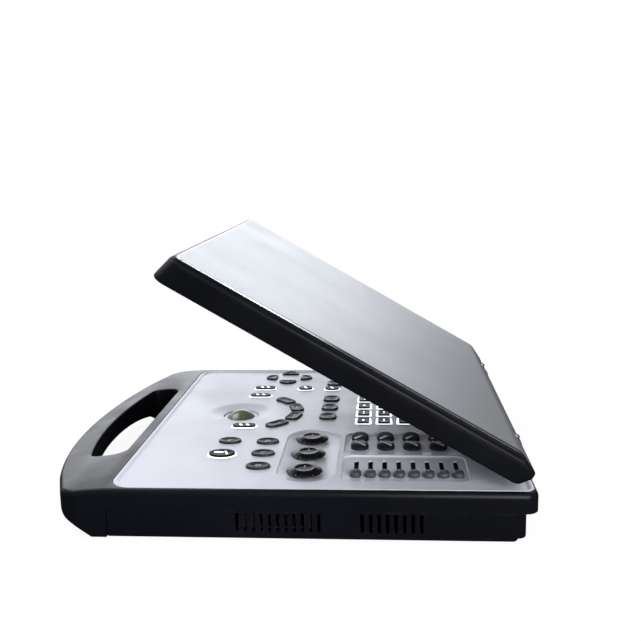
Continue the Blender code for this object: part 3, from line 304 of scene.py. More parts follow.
def carve(obj, build, *details, operation="DIFFERENCE", **more):
    """Applies a Boolean with the shape that build(bm, *details, **more) makes."""
    cutter = solid(build, *details, **more)
    modifier = obj.modifiers.new("carve", "BOOLEAN")
    modifier.operation = operation
    modifier.object = cutter
    graph = bpy.context.evaluated_depsgraph_get()
    mesh = bpy.data.meshes.new_from_object(obj.evaluated_get(graph))
    old = obj.data
    obj.modifiers.clear()
    obj.data = mesh
    bpy.data.meshes.remove(old)
    bpy.data.objects.remove(cutter)
    return obj


def join(obj, other):
    """Adds another loose object's mesh to obj's, and removes that object."""
    bm = bmesh.new()
    bm.from_mesh(obj.data)
    bm.from_mesh(other.data)
    bm.to_mesh(obj.data)
    bm.free()
    bpy.data.objects.remove(other)


def soft_edges(obj, width, segments=2, angle=35):
    """A fine bevel on every sharp edge, kept as a modifier."""
    bevel = obj.modifiers.new("soft_edges", "BEVEL")
    bevel.width = width
    bevel.segments = segments
    bevel.limit_method = "ANGLE"
    bevel.angle_limit = math.radians(angle)
    bevel.use_clamp_overlap = True
    bevel.harden_normals = False
    return obj


def publish(obj, name, node, materials, smooth=38, lid=False):
    """Names and places a finished piece, and lets it stand for its CAD node and ride on that node's body."""
    obj.name = name
    obj.data.name = name
    slots = [face.material_index for face in obj.data.polygons]
    obj.data.materials.clear()
    for material in materials:
        obj.data.materials.append(material)
    obj.data.polygons.foreach_set("material_index", slots)
    obj.data.transform(LID_PLACE if lid else Matrix.Translation(DATUM))
    obj.data.shade_smooth()
    obj.data.set_sharp_from_angle(angle=math.radians(smooth))
    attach(obj, NODE_BODY[node])
    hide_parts(node)
    return obj


# ---------- materials ----------


def node_maths(tree, operation, first, second):
    made = tree.nodes.new("ShaderNodeMath")
    made.operation = operation
    for socket, value in zip(made.inputs, (first, second)):
        if isinstance(value, (int, float)):
            socket.default_value = value
        else:
            tree.links.new(value, socket)
    return made.outputs["Value"]


def node_range(tree, value, low, high, out_low, out_high, kind="LINEAR"):
    """Maps value from low..high to out_low..out_high, held at both ends."""
    made = tree.nodes.new("ShaderNodeMapRange")
    made.interpolation_type = kind
    for name, number in (("From Min", low), ("From Max", high), ("To Min", out_low), ("To Max", out_high)):
        made.inputs[name].default_value = number
    tree.links.new(value, made.inputs["Value"])
    return made.outputs["Result"]


def colour_mix(tree, factor, first, second):
    """A blend from first to second, each a colour or an output."""
    mix = tree.nodes.new("ShaderNodeMix")
    mix.data_type = "RGBA"
    tree.links.new(factor, mix.inputs["Factor"])
    sockets = [socket for socket in mix.inputs if socket.type == "RGBA"]
    for socket, colour in zip(sockets, (first, second)):
        if isinstance(colour, tuple):
            socket.default_value = colour
        else:
            tree.links.new(colour, socket)
    return next(socket for socket in mix.outputs if socket.type == "RGBA")


class Finish:
    """A procedural material: a Principled shader with helpers that add patterns in object coordinates."""

    def __init__(self, name, colour, roughness, metallic=0.0, coat=0.0):
        self.material = bpy.data.materials.new(name)
        self.material.use_nodes = True
        self.tree = self.material.node_tree
        self.shader = self.tree.nodes["Principled BSDF"]
        self.coords = self.tree.nodes.new("ShaderNodeTexCoord").outputs["Object"]
        self.colour = (*colour, 1)
        self.shader.inputs["Base Color"].default_value = self.colour
        self.shader.inputs["Roughness"].default_value = roughness
        self.shader.inputs["Metallic"].default_value = metallic
        self.shader.inputs["Coat Weight"].default_value = coat
        self.shader.inputs["Coat Roughness"].default_value = 0.12

    def axis(self, vector, name):
        split = self.node("ShaderNodeSeparateXYZ")
        self.link(vector, split.inputs["Vector"])
        return split.outputs[name]

    def node(self, kind, **inputs):
        made = self.tree.nodes.new(kind)
        for key, value in inputs.items():
            made.inputs[key.replace("_", " ")].default_value = value
        return made

    def link(self, output, target):
        self.tree.links.new(output, target)

    def stretched(self, scale):
        mapping = self.node("ShaderNodeMapping", Scale=scale)
        self.link(self.coords, mapping.inputs["Vector"])
        return mapping.outputs["Vector"]

    def noise(self, scale, detail=3.0, roughness=0.5, vector=None):
        made = self.node("ShaderNodeTexNoise", Scale=scale, Detail=detail, Roughness=roughness)
        self.link(vector or self.coords, made.inputs["Vector"])
        return made.outputs["Fac"]

    def voronoi(self, scale):
        made = self.node("ShaderNodeTexVoronoi", Scale=scale)
        self.link(self.coords, made.inputs["Vector"])
        return made.outputs["Distance"]

    def ramp(self, value, low, high, out_low=0.0, out_high=1.0):
        return node_range(self.tree, value, low, high, out_low, out_high)

    def maths(self, operation, first, second):
        return node_maths(self.tree, operation, first, second)

    def mix_colour(self, factor, other):
        """Blends the colour so far towards other by factor."""
        self.colour = colour_mix(self.tree, factor, self.colour, (*other, 1))
        self.link(self.colour, self.shader.inputs["Base Color"])

    def mottle(self, scale, amount, other, detail=4.0):
        """Large soft changes of colour."""
        self.mix_colour(self.ramp(self.noise(scale, detail), 0.35, 0.7, 0.0, amount), other)

    def smudge(self, scale, low, high):
        """Roughness that changes in soft patches, as on handled plastic."""
        patches = self.noise(scale, 5.0, 0.6)
        self.link(self.ramp(patches, 0.35, 0.65, low, high), self.shader.inputs["Roughness"])

    def bump(self, value, distance, strength):
        """A bump from value, and the finished material."""
        made = self.node("ShaderNodeBump", Strength=strength, Distance=distance)
        self.link(value, made.inputs["Height"])
        self.link(made.outputs["Normal"], self.shader.inputs["Normal"])
        return self.material

    def scratches(self, stretch, low, high, other, amount):
        """Fine straight wear marks, lighter than the surface."""
        streaks = self.ramp(self.noise(1.0, 2.0, 0.5, self.stretched(stretch)), low, high)
        patches = self.ramp(self.noise(18.0, 2.0), 0.5, 0.7, 0.0, amount)
        self.mix_colour(self.maths("MULTIPLY", streaks, patches), other)

    def worn_edges(self, radius, other, amount):
        """Edges rubbed lighter: where the surface turns within radius."""
        rounded = self.node("ShaderNodeBevel", Radius=radius)
        rounded.samples = 4
        plain = self.node("ShaderNodeNewGeometry")
        dot = self.node("ShaderNodeVectorMath")
        dot.operation = "DOT_PRODUCT"
        self.link(rounded.outputs["Normal"], dot.inputs[0])
        self.link(plain.outputs["Normal"], dot.inputs[1])
        turn = self.ramp(dot.outputs["Value"], 0.97, 0.72)
        spots = self.ramp(self.noise(160.0, 4.0, 0.7), 0.42, 0.68, 0.0, amount)
        self.mix_colour(self.maths("MULTIPLY", turn, spots), other)


def casing_finish():
    """Moulded plastic with a fine grain. Its upward faces, which hands polish, shine more than its sides."""
    made = Finish("moulded_black", (0.0028, 0.003, 0.0042), 0.4)
    upward = made.axis(made.node("ShaderNodeNewGeometry").outputs["Normal"], "Z")
    made.link(made.ramp(upward, 0.8, 0.99, 0.07, 0.22), made.shader.inputs["Specular IOR Level"])
    made.mottle(9.0, 0.6, (0.0045, 0.0052, 0.0075))
    made.scratches((30, 900, 900), 0.62, 0.7, (0.03, 0.032, 0.037), 0.3)
    made.worn_edges(0.9 * MM, (0.03, 0.032, 0.037), 0.5)
    made.smudge(26.0, 0.27, 0.38)
    return made.bump(made.noise(1500.0, 3.0), 0.05 * MM, 0.5)


def panel_finish():
    made = Finish("lavender_grey_paint", (0.475, 0.484, 0.54), 0.4, coat=0.1)
    made.mottle(6.0, 0.35, (0.44, 0.449, 0.505))
    flakes = made.ramp(made.voronoi(2600.0), 0.0, 0.22, 1.0, 0.0)
    made.mix_colour(made.maths("MULTIPLY", flakes, 0.25), (0.64, 0.65, 0.7))
    made.smudge(20.0, 0.32, 0.46)
    return made.bump(made.noise(900.0, 2.0), 0.02 * MM, 0.35)


def cover_finish():
    made = Finish("satin_silver_paint", (0.35, 0.356, 0.366), 0.34, metallic=0.75)
    made.mottle(4.0, 0.25, (0.325, 0.33, 0.343))
    flakes = made.ramp(made.voronoi(3200.0), 0.0, 0.2, 1.0, 0.0)
    made.mix_colour(made.maths("MULTIPLY", flakes, 0.3), (0.55, 0.555, 0.57))
    made.scratches((900, 25, 900), 0.66, 0.72, (0.5, 0.505, 0.52), 0.4)
    made.smudge(12.0, 0.32, 0.37)
    return made.bump(made.noise(1100.0, 2.0), 0.012 * MM, 0.35)


def edge_highlight_finish():
    """The cover's cut edge: polished at the front and rougher towards the hinges. Its colour is a painted
    highlight, near white at the front and fading to near black towards the hinges.
    """
    made = Finish("polished_trim", (0.93, 0.935, 0.95), 0.24, metallic=1.0)
    made.mottle(30.0, 0.4, (0.85, 0.855, 0.87))
    along = made.axis(made.coords, "Y")
    fade_from, fade_to = -0.03, 0.05
    # Painted highlight along the edge: the colour fades from near white at the front to near black towards the
    # hinges
    made.mix_colour(made.ramp(along, fade_from, fade_to), (0.045, 0.048, 0.055))
    wear = made.ramp(made.noise(60.0, 4.0), 0.35, 0.65, -0.05, 0.05)
    dulled = made.ramp(along, fade_from, fade_to, 0.31, 0.7)
    made.link(made.maths("ADD", dulled, wear), made.shader.inputs["Roughness"])
    return made.bump(made.noise(900.0, 2.0), 0.006 * MM, 0.3)


def plain_finish(name, colour, mottle, smudge, bump, metallic=0.0, specular=0.5):
    """Soft patches of colour and roughness, and a fine bump: scale, detail, depth in mm, strength."""
    made = Finish(name, colour, 0.4, metallic)
    made.shader.inputs["Specular IOR Level"].default_value = specular
    made.mottle(*mottle)
    made.smudge(*smudge)
    scale, detail, depth, strength = bump
    return made.bump(made.noise(scale, detail), depth * MM, strength)


def button_finish(name, colour, specular):
    lighter = [c * 1.5 for c in colour]
    patches, wear, grain = (60.0, 0.5, lighter), (140.0, 0.28, 0.45), (2600.0, 2.0, 0.02, 0.4)
    return plain_finish(name, colour, patches, wear, grain, specular=specular)


def lit_finish():
    made = Finish("backlit_translucent", (0.88, 0.9, 0.93), 0.35)
    made.mottle(80.0, 0.3, (0.8, 0.83, 0.88))
    shader = made.shader
    shader.inputs["Emission Color"].default_value = (0.95, 0.97, 1.0, 1)
    glow = made.ramp(made.noise(120.0, 2.0), 0.3, 0.7, 0.85, 1.15)
    made.link(glow, shader.inputs["Emission Strength"])
    return made.bump(made.noise(1800.0), 0.01 * MM, 0.3)


def ink_finish():
    made = Finish("legend_ink", (0.42, 0.425, 0.445), 0.5)
    made.mottle(300.0, 0.5, (0.33, 0.335, 0.35))
    return made.bump(made.noise(2500.0), 0.01 * MM, 0.3)


def ball_finish():
    made = Finish("speckled_ball", (0.085, 0.087, 0.058), 0.24, coat=0.2)
    made.mottle(90.0, 0.6, (0.14, 0.142, 0.095))
    speckles = made.ramp(made.voronoi(900.0), 0.16, 0.24, 1.0, 0.0)
    made.mix_colour(speckles, (0.05, 0.052, 0.035))
    made.smudge(200.0, 0.1, 0.2)
    return made.bump(made.noise(400.0), 0.004 * MM, 0.2)


def steel_finish():
    made = Finish("turned_steel", (0.42, 0.425, 0.44), 0.3, metallic=1.0)
    grain = made.noise(1.0, 3.0, 0.6, made.stretched((2600, 90, 90)))
    made.mix_colour(made.ramp(grain, 0.4, 0.65, 0.0, 0.6), (0.27, 0.275, 0.29))
    made.link(made.ramp(grain, 0.3, 0.7, 0.22, 0.42), made.shader.inputs["Roughness"])
    return made.bump(grain, 0.01 * MM, 0.4)


def glass_finish():
    made = Finish("display_glass", (0.006, 0.007, 0.009), 0.12, coat=0.8)
    made.mottle(7.0, 0.5, (0.009, 0.011, 0.016))
    cells = made.voronoi(3000.0)
    made.mix_colour(made.ramp(cells, 0.1, 0.3, 0.25, 0.0), (0.02, 0.022, 0.028))
    made.smudge(9.0, 0.08, 0.2)
    return made.bump(made.noise(1800.0), 0.004 * MM, 0.3)


def board_finish(name, base, trace, pad):
    made = Finish(name, base, 0.35, coat=0.3)
    black, white = (0, 0, 0, 1), (1, 1, 1, 1)
    lines = made.node(
        "ShaderNodeTexBrick", Scale=260.0, Mortar_Size=0.05, Color1=black, Color2=black, Mortar=white
    )
    made.link(made.coords, lines.inputs["Vector"])
    patches = made.ramp(made.noise(35.0, 1.0), 0.45, 0.55)
    traces = made.maths("MULTIPLY", lines.outputs["Color"], patches)
    made.mix_colour(traces, trace)
    pads = made.ramp(made.voronoi(420.0), 0.1, 0.14, 1.0, 0.0)
    made.mix_colour(made.maths("MULTIPLY", pads, 0.8), pad)
    made.smudge(60.0, 0.3, 0.5)
    return made.bump(traces, 0.03 * MM, 0.6)


BLACK = casing_finish()
PANEL = panel_finish()
COVER = cover_finish()
# The cover's edge, its colour a painted highlight that fades out towards the hinges
EDGE_HIGHLIGHT = edge_highlight_finish()
BUTTON = button_finish("button_plastic", (0.016, 0.0165, 0.019), 0.14)
KEY_DARK = button_finish("key_plastic", (0.012, 0.013, 0.016), 0.08)
FREEZE_DARK = button_finish("freeze_plastic", (0.002, 0.006, 0.005), 0.04)
INNER = button_finish("dark_inner_plastic", (0.02, 0.02, 0.022), 0.14)
LIT = lit_finish()
INK = ink_finish()
BALL_PAINT = ball_finish()
STEEL = steel_finish()
GLASS = glass_finish()
BOARD = board_finish("circuit_board", (0.012, 0.085, 0.035), (0.03, 0.17, 0.07), (0.45, 0.4, 0.22))
DARK_BOARD = board_finish(
    "black_circuit_board", (0.006, 0.006, 0.007), (0.011, 0.011, 0.013), (0.03, 0.028, 0.02)
)
KNOB = plain_finish(
    "gloss_black_knob", (0.003, 0.003, 0.0036), (70.0, 0.5, (0.006, 0.006, 0.007)),
    (160.0, 0.22, 0.34), (700.0, 2.0, 0.008, 0.3), specular=0.22,
)
SLIDER = plain_finish(
    "slider_blue_grey", (0.032, 0.035, 0.044), (140.0, 0.5, (0.05, 0.054, 0.066)),
    (220.0, 0.32, 0.5), (2400.0, 3.0, 0.02, 0.4), specular=0.25,
)
HINGE_METAL = plain_finish(
    "dark_hinge_metal", (0.1, 0.102, 0.108), (160.0, 0.5, (0.16, 0.163, 0.17)),
    (120.0, 0.32, 0.5), (1200.0, 3.0, 0.02, 0.4), metallic=0.9,
)
RUBBER = plain_finish(
    "foot_rubber", (0.018, 0.018, 0.019), (30.0, 0.6, (0.035, 0.034, 0.033)),
    (50.0, 0.75, 0.95), (1400.0, 4.0, 0.08, 0.6),
)
WRAP = plain_finish(
    "battery_wrap", (0.035, 0.036, 0.042), (25.0, 0.5, (0.06, 0.06, 0.07)),
    (40.0, 0.35, 0.6), (300.0, 4.0, 0.1, 0.5),
)
GOLD = plain_finish(
    "contact_gold", (0.62, 0.44, 0.16), (400.0, 0.5, (0.45, 0.33, 0.14)),
    (300.0, 0.2, 0.4), (2000.0, 3.0, 0.01, 0.3), metallic=1.0,
)


# ---------- base casing ----------

HANDLE_FRONT_Y = FRAME_LOW.y
HANDLE_ARC = 400 * MM
HANDLE_CENTRE_Y = HANDLE_FRONT_Y + HANDLE_ARC
HANDLE_CORNER = 18 * MM
HANDLE_SLOPE_Y = -119 * MM
GRIP_DEPTH = 21 * MM
OPENING_HALF = 93 * MM
OPENING_REAR_Y = FRONT_Y - 8 * MM
ARCH_HALF = 98 * MM
ARCH_HEIGHT = 11.8 * MM
HANDLE_FALL = (0.05, 1.3)
SHOULDER = (3.2 * MM, 4.5 * MM)
# Past every outer face, for cutters
CLEAR = 200 * MM


def handle_arc(radius, reach):
    """Corners without rounding along an arc about the handle's centre, reach degrees to each side."""
    steps = 2 * reach
    turns = [math.radians(reach * i / steps) for i in range(-steps, steps + 1)]
    return [(radius * math.sin(a), HANDLE_CENTRE_Y - radius * math.cos(a), 0) for a in turns]


def handle_outline(side, rear_y, rear_corner, radius, reach, corner, steps):
    """A box outline whose front is an arc about the handle's centre."""
    front_y = HANDLE_CENTRE_Y - math.sqrt(radius**2 - side**2)
    rear = [(side, rear_y, rear_corner), (-side, rear_y, rear_corner)]
    left, right = (-side, front_y, corner), (side, front_y, corner)
    return filleted([*rear, left, *handle_arc(radius, reach), right], steps)


def frame_outline():
    return handle_outline(SIDE, REAR_Y, 9 * MM, HANDLE_ARC, 18, HANDLE_CORNER, 14)


def opening_outline():
    return handle_outline(OPENING_HALF, OPENING_REAR_Y, 13 * MM, HANDLE_ARC - GRIP_DEPTH, 12, 8 * MM, 10)


def shell_outline(side, y_range, front_radius, rear_radius, steps=8):
    """A box outline, its front corners rounded by one radius and its rear corners by another."""
    front, rear = y_range
    corners = [
        (side, rear, rear_radius),
        (-side, rear, rear_radius),
        (-side, front, front_radius),
        (side, front, front_radius),
    ]
    return filleted(corners, steps)


def panel_outline():
    return shell_outline(PANEL_HIGH.x, (PANEL_LOW.y, PANEL_HIGH.y), 16 * MM, 8 * MM, 12)


def chamfer_profile():
    """What the slope under the handle cuts away, as (radius about the handle's centre, z)."""
    foot, edge, beyond = HANDLE_ARC - 18 * MM, HANDLE_ARC - 0.9 * MM, HANDLE_ARC + 40 * MM
    return filleted(
        [
            (foot, -10 * MM, 0),
            (beyond, -10 * MM, 0),
            (beyond, 24 * MM, 0),
            (HANDLE_ARC + 0.5 * MM, 24 * MM, 0),
            (edge, 11.5 * MM, 7 * MM),
            (foot, FRAME_LOW.z, 0),
        ],
        8,
    )


def arch_profile():
    """The finger space under the grip, in (x, z): high in the middle, falling to the table at both ends."""
    steps = 48
    xs = [math.cos(math.pi * i / steps) for i in range(steps + 1)]
    top = [(ARCH_HALF * x, ARCH_HEIGHT * max(0.0, 1 - abs(x) ** 2.5) ** 0.6) for x in xs]
    return [*top, (-ARCH_HALF, -10 * MM), (ARCH_HALF, -10 * MM)]


def lower_handle(obj):
    """Lets the top of the handle fall away towards its front edge, in a smooth curve."""
    bm = bmesh.new()
    bm.from_mesh(obj.data)
    stations = 24
    for i in range(stations):
        y = HANDLE_SLOPE_Y + (HANDLE_FRONT_Y - HANDLE_SLOPE_Y) * i / stations
        everything = [*bm.verts, *bm.edges, *bm.faces]
        bmesh.ops.bisect_plane(bm, geom=everything, dist=1e-6, plane_co=(0, y, 0), plane_no=(0, 1, 0))
    slope, curve = HANDLE_FALL
    for vert in bm.verts:
        reach = HANDLE_SLOPE_Y - vert.co.y
        if reach > 0 and vert.co.z > 20 * MM:
            vert.co.z -= slope * reach + curve * reach**2
    bm.to_mesh(obj.data)
    bm.free()


def across_y(bm, outline, y0, y1, slot=0):
    """An outline in (x, z) given thickness along Y."""
    return stack(bm, [[(x, y, z) for x, z in outline] for y in (y0, y1)], slot)


def along_x(bm, outline, low, high):
    return stack(bm, [[(x, y, z) for y, z in outline] for x in (low, high)])


def flared_hole(bm, outline, low, high, flare):
    """A cutter whose mouth at high opens in a round of radius flare."""
    rings = [at_level(outline, low), *rounded_rim(outline, high, -flare, flare, 6)]
    return stack(bm, [*rings, at_level(grown(outline, flare), high + 4 * MM)])


def probe_space(bm):
    low, high = box("probe_socket")
    brick(bm, (low.x - 8 * MM, low.y - GAP, low.z - GAP), (high.x + 1 * MM, high.y + GAP, high.z + GAP))


def make_upper_frame():
    outline = frame_outline()
    rim = rounded_rim(outline, RIM_Z, *SHOULDER, 10)
    frame_piece = solid(stack, [at_level(outline, FRAME_LOW.z), *rim])
    carve(frame_piece, turned, chamfer_profile(), (0, HANDLE_CENTRE_Y), 240, closed=True)
    carve(frame_piece, across_y, arch_profile(), -CLEAR, FRONT_Y - 6 * MM)
    carve(frame_piece, flared_hole, opening_outline(), -5 * MM, RIM_Z, 1.6 * MM)
    lower_handle(frame_piece)
    carve(frame_piece, brick, (-CLEAR, FRONT_Y, -CLEAR), (CLEAR, CLEAR, SEAM_Z + GAP / 2))
    carve(frame_piece, slab, grown(panel_outline(), GAP), LEDGE_Z, CLEAR)
    wall, ledge, ledge_thickness = 3 * MM, 4 * MM, 2.7 * MM
    for inset, top in ((wall, LEDGE_Z - ledge_thickness), (wall + ledge, CLEAR)):
        x_range = (-SIDE + inset, SIDE - inset)
        hollow = rounded_box(x_range, (FRONT_Y + inset, REAR_Y - inset), 5 * MM)
        carve(frame_piece, slab, hollow, -CLEAR, top)
    carve(frame_piece, probe_space)
    soft_edges(frame_piece, 0.35 * MM, 2, 40)
    publish(frame_piece, "upper_frame_moulding", "upper_frame", [BLACK])


VENT_WIDTH = 2.6 * MM
VENT_Z = (3.2 * MM, 16.8 * MM)
VENT_GROUPS = ((-28 * MM, 5.5 * MM, 11), (56 * MM, 5.6 * MM, 8))
SHELL_WALL = 2.5 * MM
SHELL_BOTTOM_Z = 1 * MM
PLINTH_BOTTOM_Z = SHELL_LOW.z
PLINTH_SIDE = SIDE - 0.4 * MM
PLINTH_Y = (FRONT_Y + GAP, 158.5 * MM)
SCREW_X, SCREW_Y = 150 * MM, (-88 * MM, 128 * MM)
SCREW_RADIUS, SCREW_DEPTH = 3.4 * MM, 1.6 * MM
DOOR = ((-150 * MM, -72 * MM), (16 * MM, 134 * MM))


def vents(bm, side, groups):
    """Upright slots with rounded ends through one side wall."""
    for first, pitch, count in groups:
        for i in range(count):
            y = first + pitch * i
            half = VENT_WIDTH / 2
            outline = rounded_box((y - half, y + half), VENT_Z, half * 0.6, 4)
            x0, x1 = sorted((side * (SIDE - SHELL_WALL - 1 * MM), side * (SIDE + 1 * MM)))
            along_x(bm, outline, x0, x1)


def foot_outline(node):
    low, high = box(node)
    return rounded_box((low.x, high.x), (low.y, high.y), 5 * MM)


def make_bottom_shell():
    outline = shell_outline(SIDE, (SHELL_LOW.y, SHELL_REAR_Y), 0.9 * MM, 6 * MM)
    bottom, top, edge = SHELL_BOTTOM_Z, SEAM_Z - GAP / 2, 0.5 * MM

    def plinth(bm):
        """The slightly smaller step that the casing stands on."""
        plan, foot = shell_outline(PLINTH_SIDE, PLINTH_Y, 1.5 * MM, 4 * MM), 0.6 * MM
        levels = ((-foot, PLINTH_BOTTOM_Z), (0, PLINTH_BOTTOM_Z + foot), (0, bottom + 1 * MM))
        stack(bm, [at_level(grown(plan, margin), z) for margin, z in levels])

    # Its bottom edge is a rim turned upside down
    shell = solid(stack, [*rounded_rim(outline, bottom, edge, -edge, 6)[::-1], at_level(outline, top)])
    carve(shell, plinth, operation="UNION")
    inner_x = SIDE - SHELL_WALL
    hollow = rounded_box((-inner_x, inner_x), (SHELL_LOW.y + SHELL_WALL, SHELL_REAR_Y - SHELL_WALL), 4 * MM)
    carve(shell, slab, hollow, bottom + 2 * MM, CLEAR)

    def openings(bm):
        vents(bm, 1, VENT_GROUPS)
        vents(bm, -1, VENT_GROUPS[1:])
        low, high = box("rear_io_plate")
        reach = 10 * MM
        cut_low = (low.x - GAP, SHELL_REAR_Y - reach, low.z - GAP)
        brick(bm, cut_low, (high.x + GAP, SHELL_REAR_Y + reach, high.z + GAP))
        for node in ("foot_strip_front", "foot_strip_rear"):
            slab(bm, grown(foot_outline(node), GAP), -4 * MM, box(node)[1].z + GAP)
        for x in (-SCREW_X, SCREW_X):
            for y in SCREW_Y:
                hole = [(SCREW_RADIUS, -4 * MM), (SCREW_RADIUS, PLINTH_BOTTOM_Z + SCREW_DEPTH)]
                turned(bm, hole, (x, y), 32)

    carve(shell, openings)
    carve(shell, probe_space)
    door = rounded_box(*DOOR, 5 * MM)

    def battery_door_groove(bm):
        """The joint line round the battery door, cut into the floor from below."""
        low, high = PLINTH_BOTTOM_Z - 1 * MM, PLINTH_BOTTOM_Z + 0.8 * MM
        half = 0.45 * MM
        section = ((half, low), (half, high), (-half, high), (-half, low))
        stack(bm, [at_level(grown(door, margin), z) for margin, z in section], closed=True)

    carve(shell, battery_door_groove)
    soft_edges(shell, 0.25 * MM, 2, 40)
    publish(shell, "bottom_shell_moulding", "bottom_shell", [BLACK])


def make_feet():
    for node in ("foot_strip_front", "foot_strip_rear"):
        low, high = box(node)
        outline, edge = foot_outline(node), 0.5 * MM
        levels = ((-edge, low.z), (0, low.z + edge), (0, high.z))
        strip = solid(stack, [at_level(grown(outline, margin), z) for margin, z in levels])

        def grooves(bm):
            count = 9
            for i in range(count):
                y = low.y + (high.y - low.y) * (i + 1) / (count + 1)
                groove_low = (low.x + 6 * MM, y - 0.3 * MM, low.z - 1 * MM)
                brick(bm, groove_low, (high.x - 6 * MM, y + 0.3 * MM, low.z + 0.4 * MM))

        carve(strip, grooves)
        publish(strip, f"{node}_rubber", node, [RUBBER])


# ---------- control panel ----------

DISH_RADIUS = 26.7 * MM
DISH_DEPTH = 4 * MM
RING_LOW, RING_HIGH = box("trackball_ring")
RING_RADIUS = (RING_HIGH.x - RING_LOW.x) / 2
LIP_FLAT, LIP_SLOPE = 1.9 * MM, 2.9 * MM
KNOBS = ["knob_1", "knob_2", "knob_3"]
SLIDERS = [f"gain_slider_{i}" for i in range(1, 9)]
ROCKERS = [f"rocker_{i}" for i in range(1, 5)]
KNOB_POCKET_X = (51 * MM, 123 * MM)
KNOB_POCKET_Y = 15.7 * MM
KNOB_POCKET_RADIUS = 21.5 * MM
KNOB_SHAFT_RADIUS = 3.2 * MM
POCKET_Y = (40.3 * MM, 130 * MM)
# The rockers' pocket and the sliders'
POCKETS_X = ((38.2 * MM, 87.5 * MM), (90.5 * MM, 141 * MM))
KEY_COLUMNS = [(7 - 21.5 * i) * MM for i in range(8)]
KEY_ROWS = [(53.5 + 17.35 * i) * MM for i in range(5)]
KEY_SIZE = (18 * MM, 13.2 * MM)
SLIDER_TRAVEL = JOINTS["gain_slider_1_slide"]["range_m"][1]
SLIDER_STEM = (5 * MM, 2.4 * MM)
SLOT_WIDTH = 3.4 * MM
# Heights below and above the whole panel, for cutters
THROUGH_PANEL = (20 * MM, 40 * MM)


def petal_outline(width, depth, steps=24):
    """A D shape: flat on the -x side with softened corners, a half ellipse on the +x side."""
    turns = [math.pi * (i / steps - 0.5) for i in range(steps + 1)]
    bulge = [(depth * math.cos(a) - depth / 2, width / 2 * math.sin(a)) for a in turns[1:-1]]
    corner = width / 2 - 0.7 * MM
    return [*bulge, (-depth / 2, corner), (-depth / 2, -corner)]


def arc_bar_outline(radius, half_width, half_angle):
    """A bar bent along a circle about the origin, with rounded ends, its middle moved to the origin."""
    cap_length = 0.75 * half_width
    reach = half_angle - math.degrees(cap_length / radius)
    outline = []
    for sign in (1, -1):
        outline += arc((0, 0), radius + sign * half_width, -sign * reach, sign * reach, 14)
        a = math.radians(sign * reach)
        outwards, onwards = Vector((math.cos(a), math.sin(a))), Vector((-math.sin(a), math.cos(a)))
        for b in (math.pi * i / 10 for i in range(1, 10)):
            r = radius + sign * half_width * math.cos(b)
            outline.append(tuple(outwards * r + onwards * (sign * cap_length * math.sin(b))))
    return [(x - radius, y) for x, y in outline]


def rocker_outline():
    """Two rounded lobes joined by a narrow waist, seen from above."""
    low, high = box(ROCKERS[0])
    half_length, half_width, waist = (high.x - low.x) / 2, (high.y - low.y) / 2, 3.9 * MM
    lobe = 8.7 * MM
    middle_x = half_length - lobe
    sweep = 180 - math.degrees(math.asin(waist / half_width)) - 6
    ends = [
        (middle_x + lobe * math.cos(a), half_width * math.sin(a))
        for a in (math.radians(-sweep + 2 * sweep * i / 28) for i in range(29))
    ]
    return [*ends, (0, waist), *[(-x, -y) for x, y in ends], (0, -waist)]


ARC_RADIUS = 49.5 * MM
ARC_FIRST, ARC_PITCH = 46.5, 29
HINGE_WEB_HALF = 2.6 * MM
CURSOR_CENTRE = (-133.5 * MM, -24 * MM)
CURSOR_RADIUS = 17.5 * MM


def around(centre, radius, degrees):
    a = math.radians(degrees)
    return centre[0] + radius * math.cos(a), centre[1] + radius * math.sin(a)


def flat_size(node):
    """Half width and half depth of a button's cap, without its flange."""
    low, high = box(node)
    return (high.x - low.x) / 2 - FLANGE_LIP, (high.y - low.y) / 2 - FLANGE_LIP


def button_shapes():
    """Every push button: node to (outline in place, centre, turn in degrees)."""
    shapes = {}
    for i, name in enumerate(("cursor_right", "cursor_rear", "cursor_left", "cursor_front")):
        x, y = around(CURSOR_CENTRE, CURSOR_RADIUS, 90 * i)
        outline = turned_outline(petal_outline(17 * MM, 11 * MM), 90 * i)
        shapes[name] = (moved(outline, x, y), (x, y), 90 * i)
    for i in range(4):
        turn = ARC_FIRST + ARC_PITCH * i
        x, y = around((BALL.x, BALL.y), ARC_RADIUS, turn)
        outline = turned_outline(arc_bar_outline(ARC_RADIUS, 5.5 * MM, 12.2), turn)
        shapes[f"arc_button_{i + 1}"] = (moved(outline, x, y), (x, y), turn)
    for node in sorted(NODE_BODY):
        if not node.startswith(("menu_button", "oval_button", "freeze_button", "lit_button")):
            continue
        half_x, half_y = flat_size(node)
        centre = middle(node)
        if node.startswith(("oval", "freeze")):
            outline = ellipse(half_x, half_y)
        else:
            radius = 5 * MM if node.startswith("menu") else half_x - 0.1 * MM
            outline = box_about(0, 0, half_x, half_y, radius)
        shapes[node] = (moved(outline, centre.x, centre.y), (centre.x, centre.y), 0)
    return shapes


BUTTONS = button_shapes()


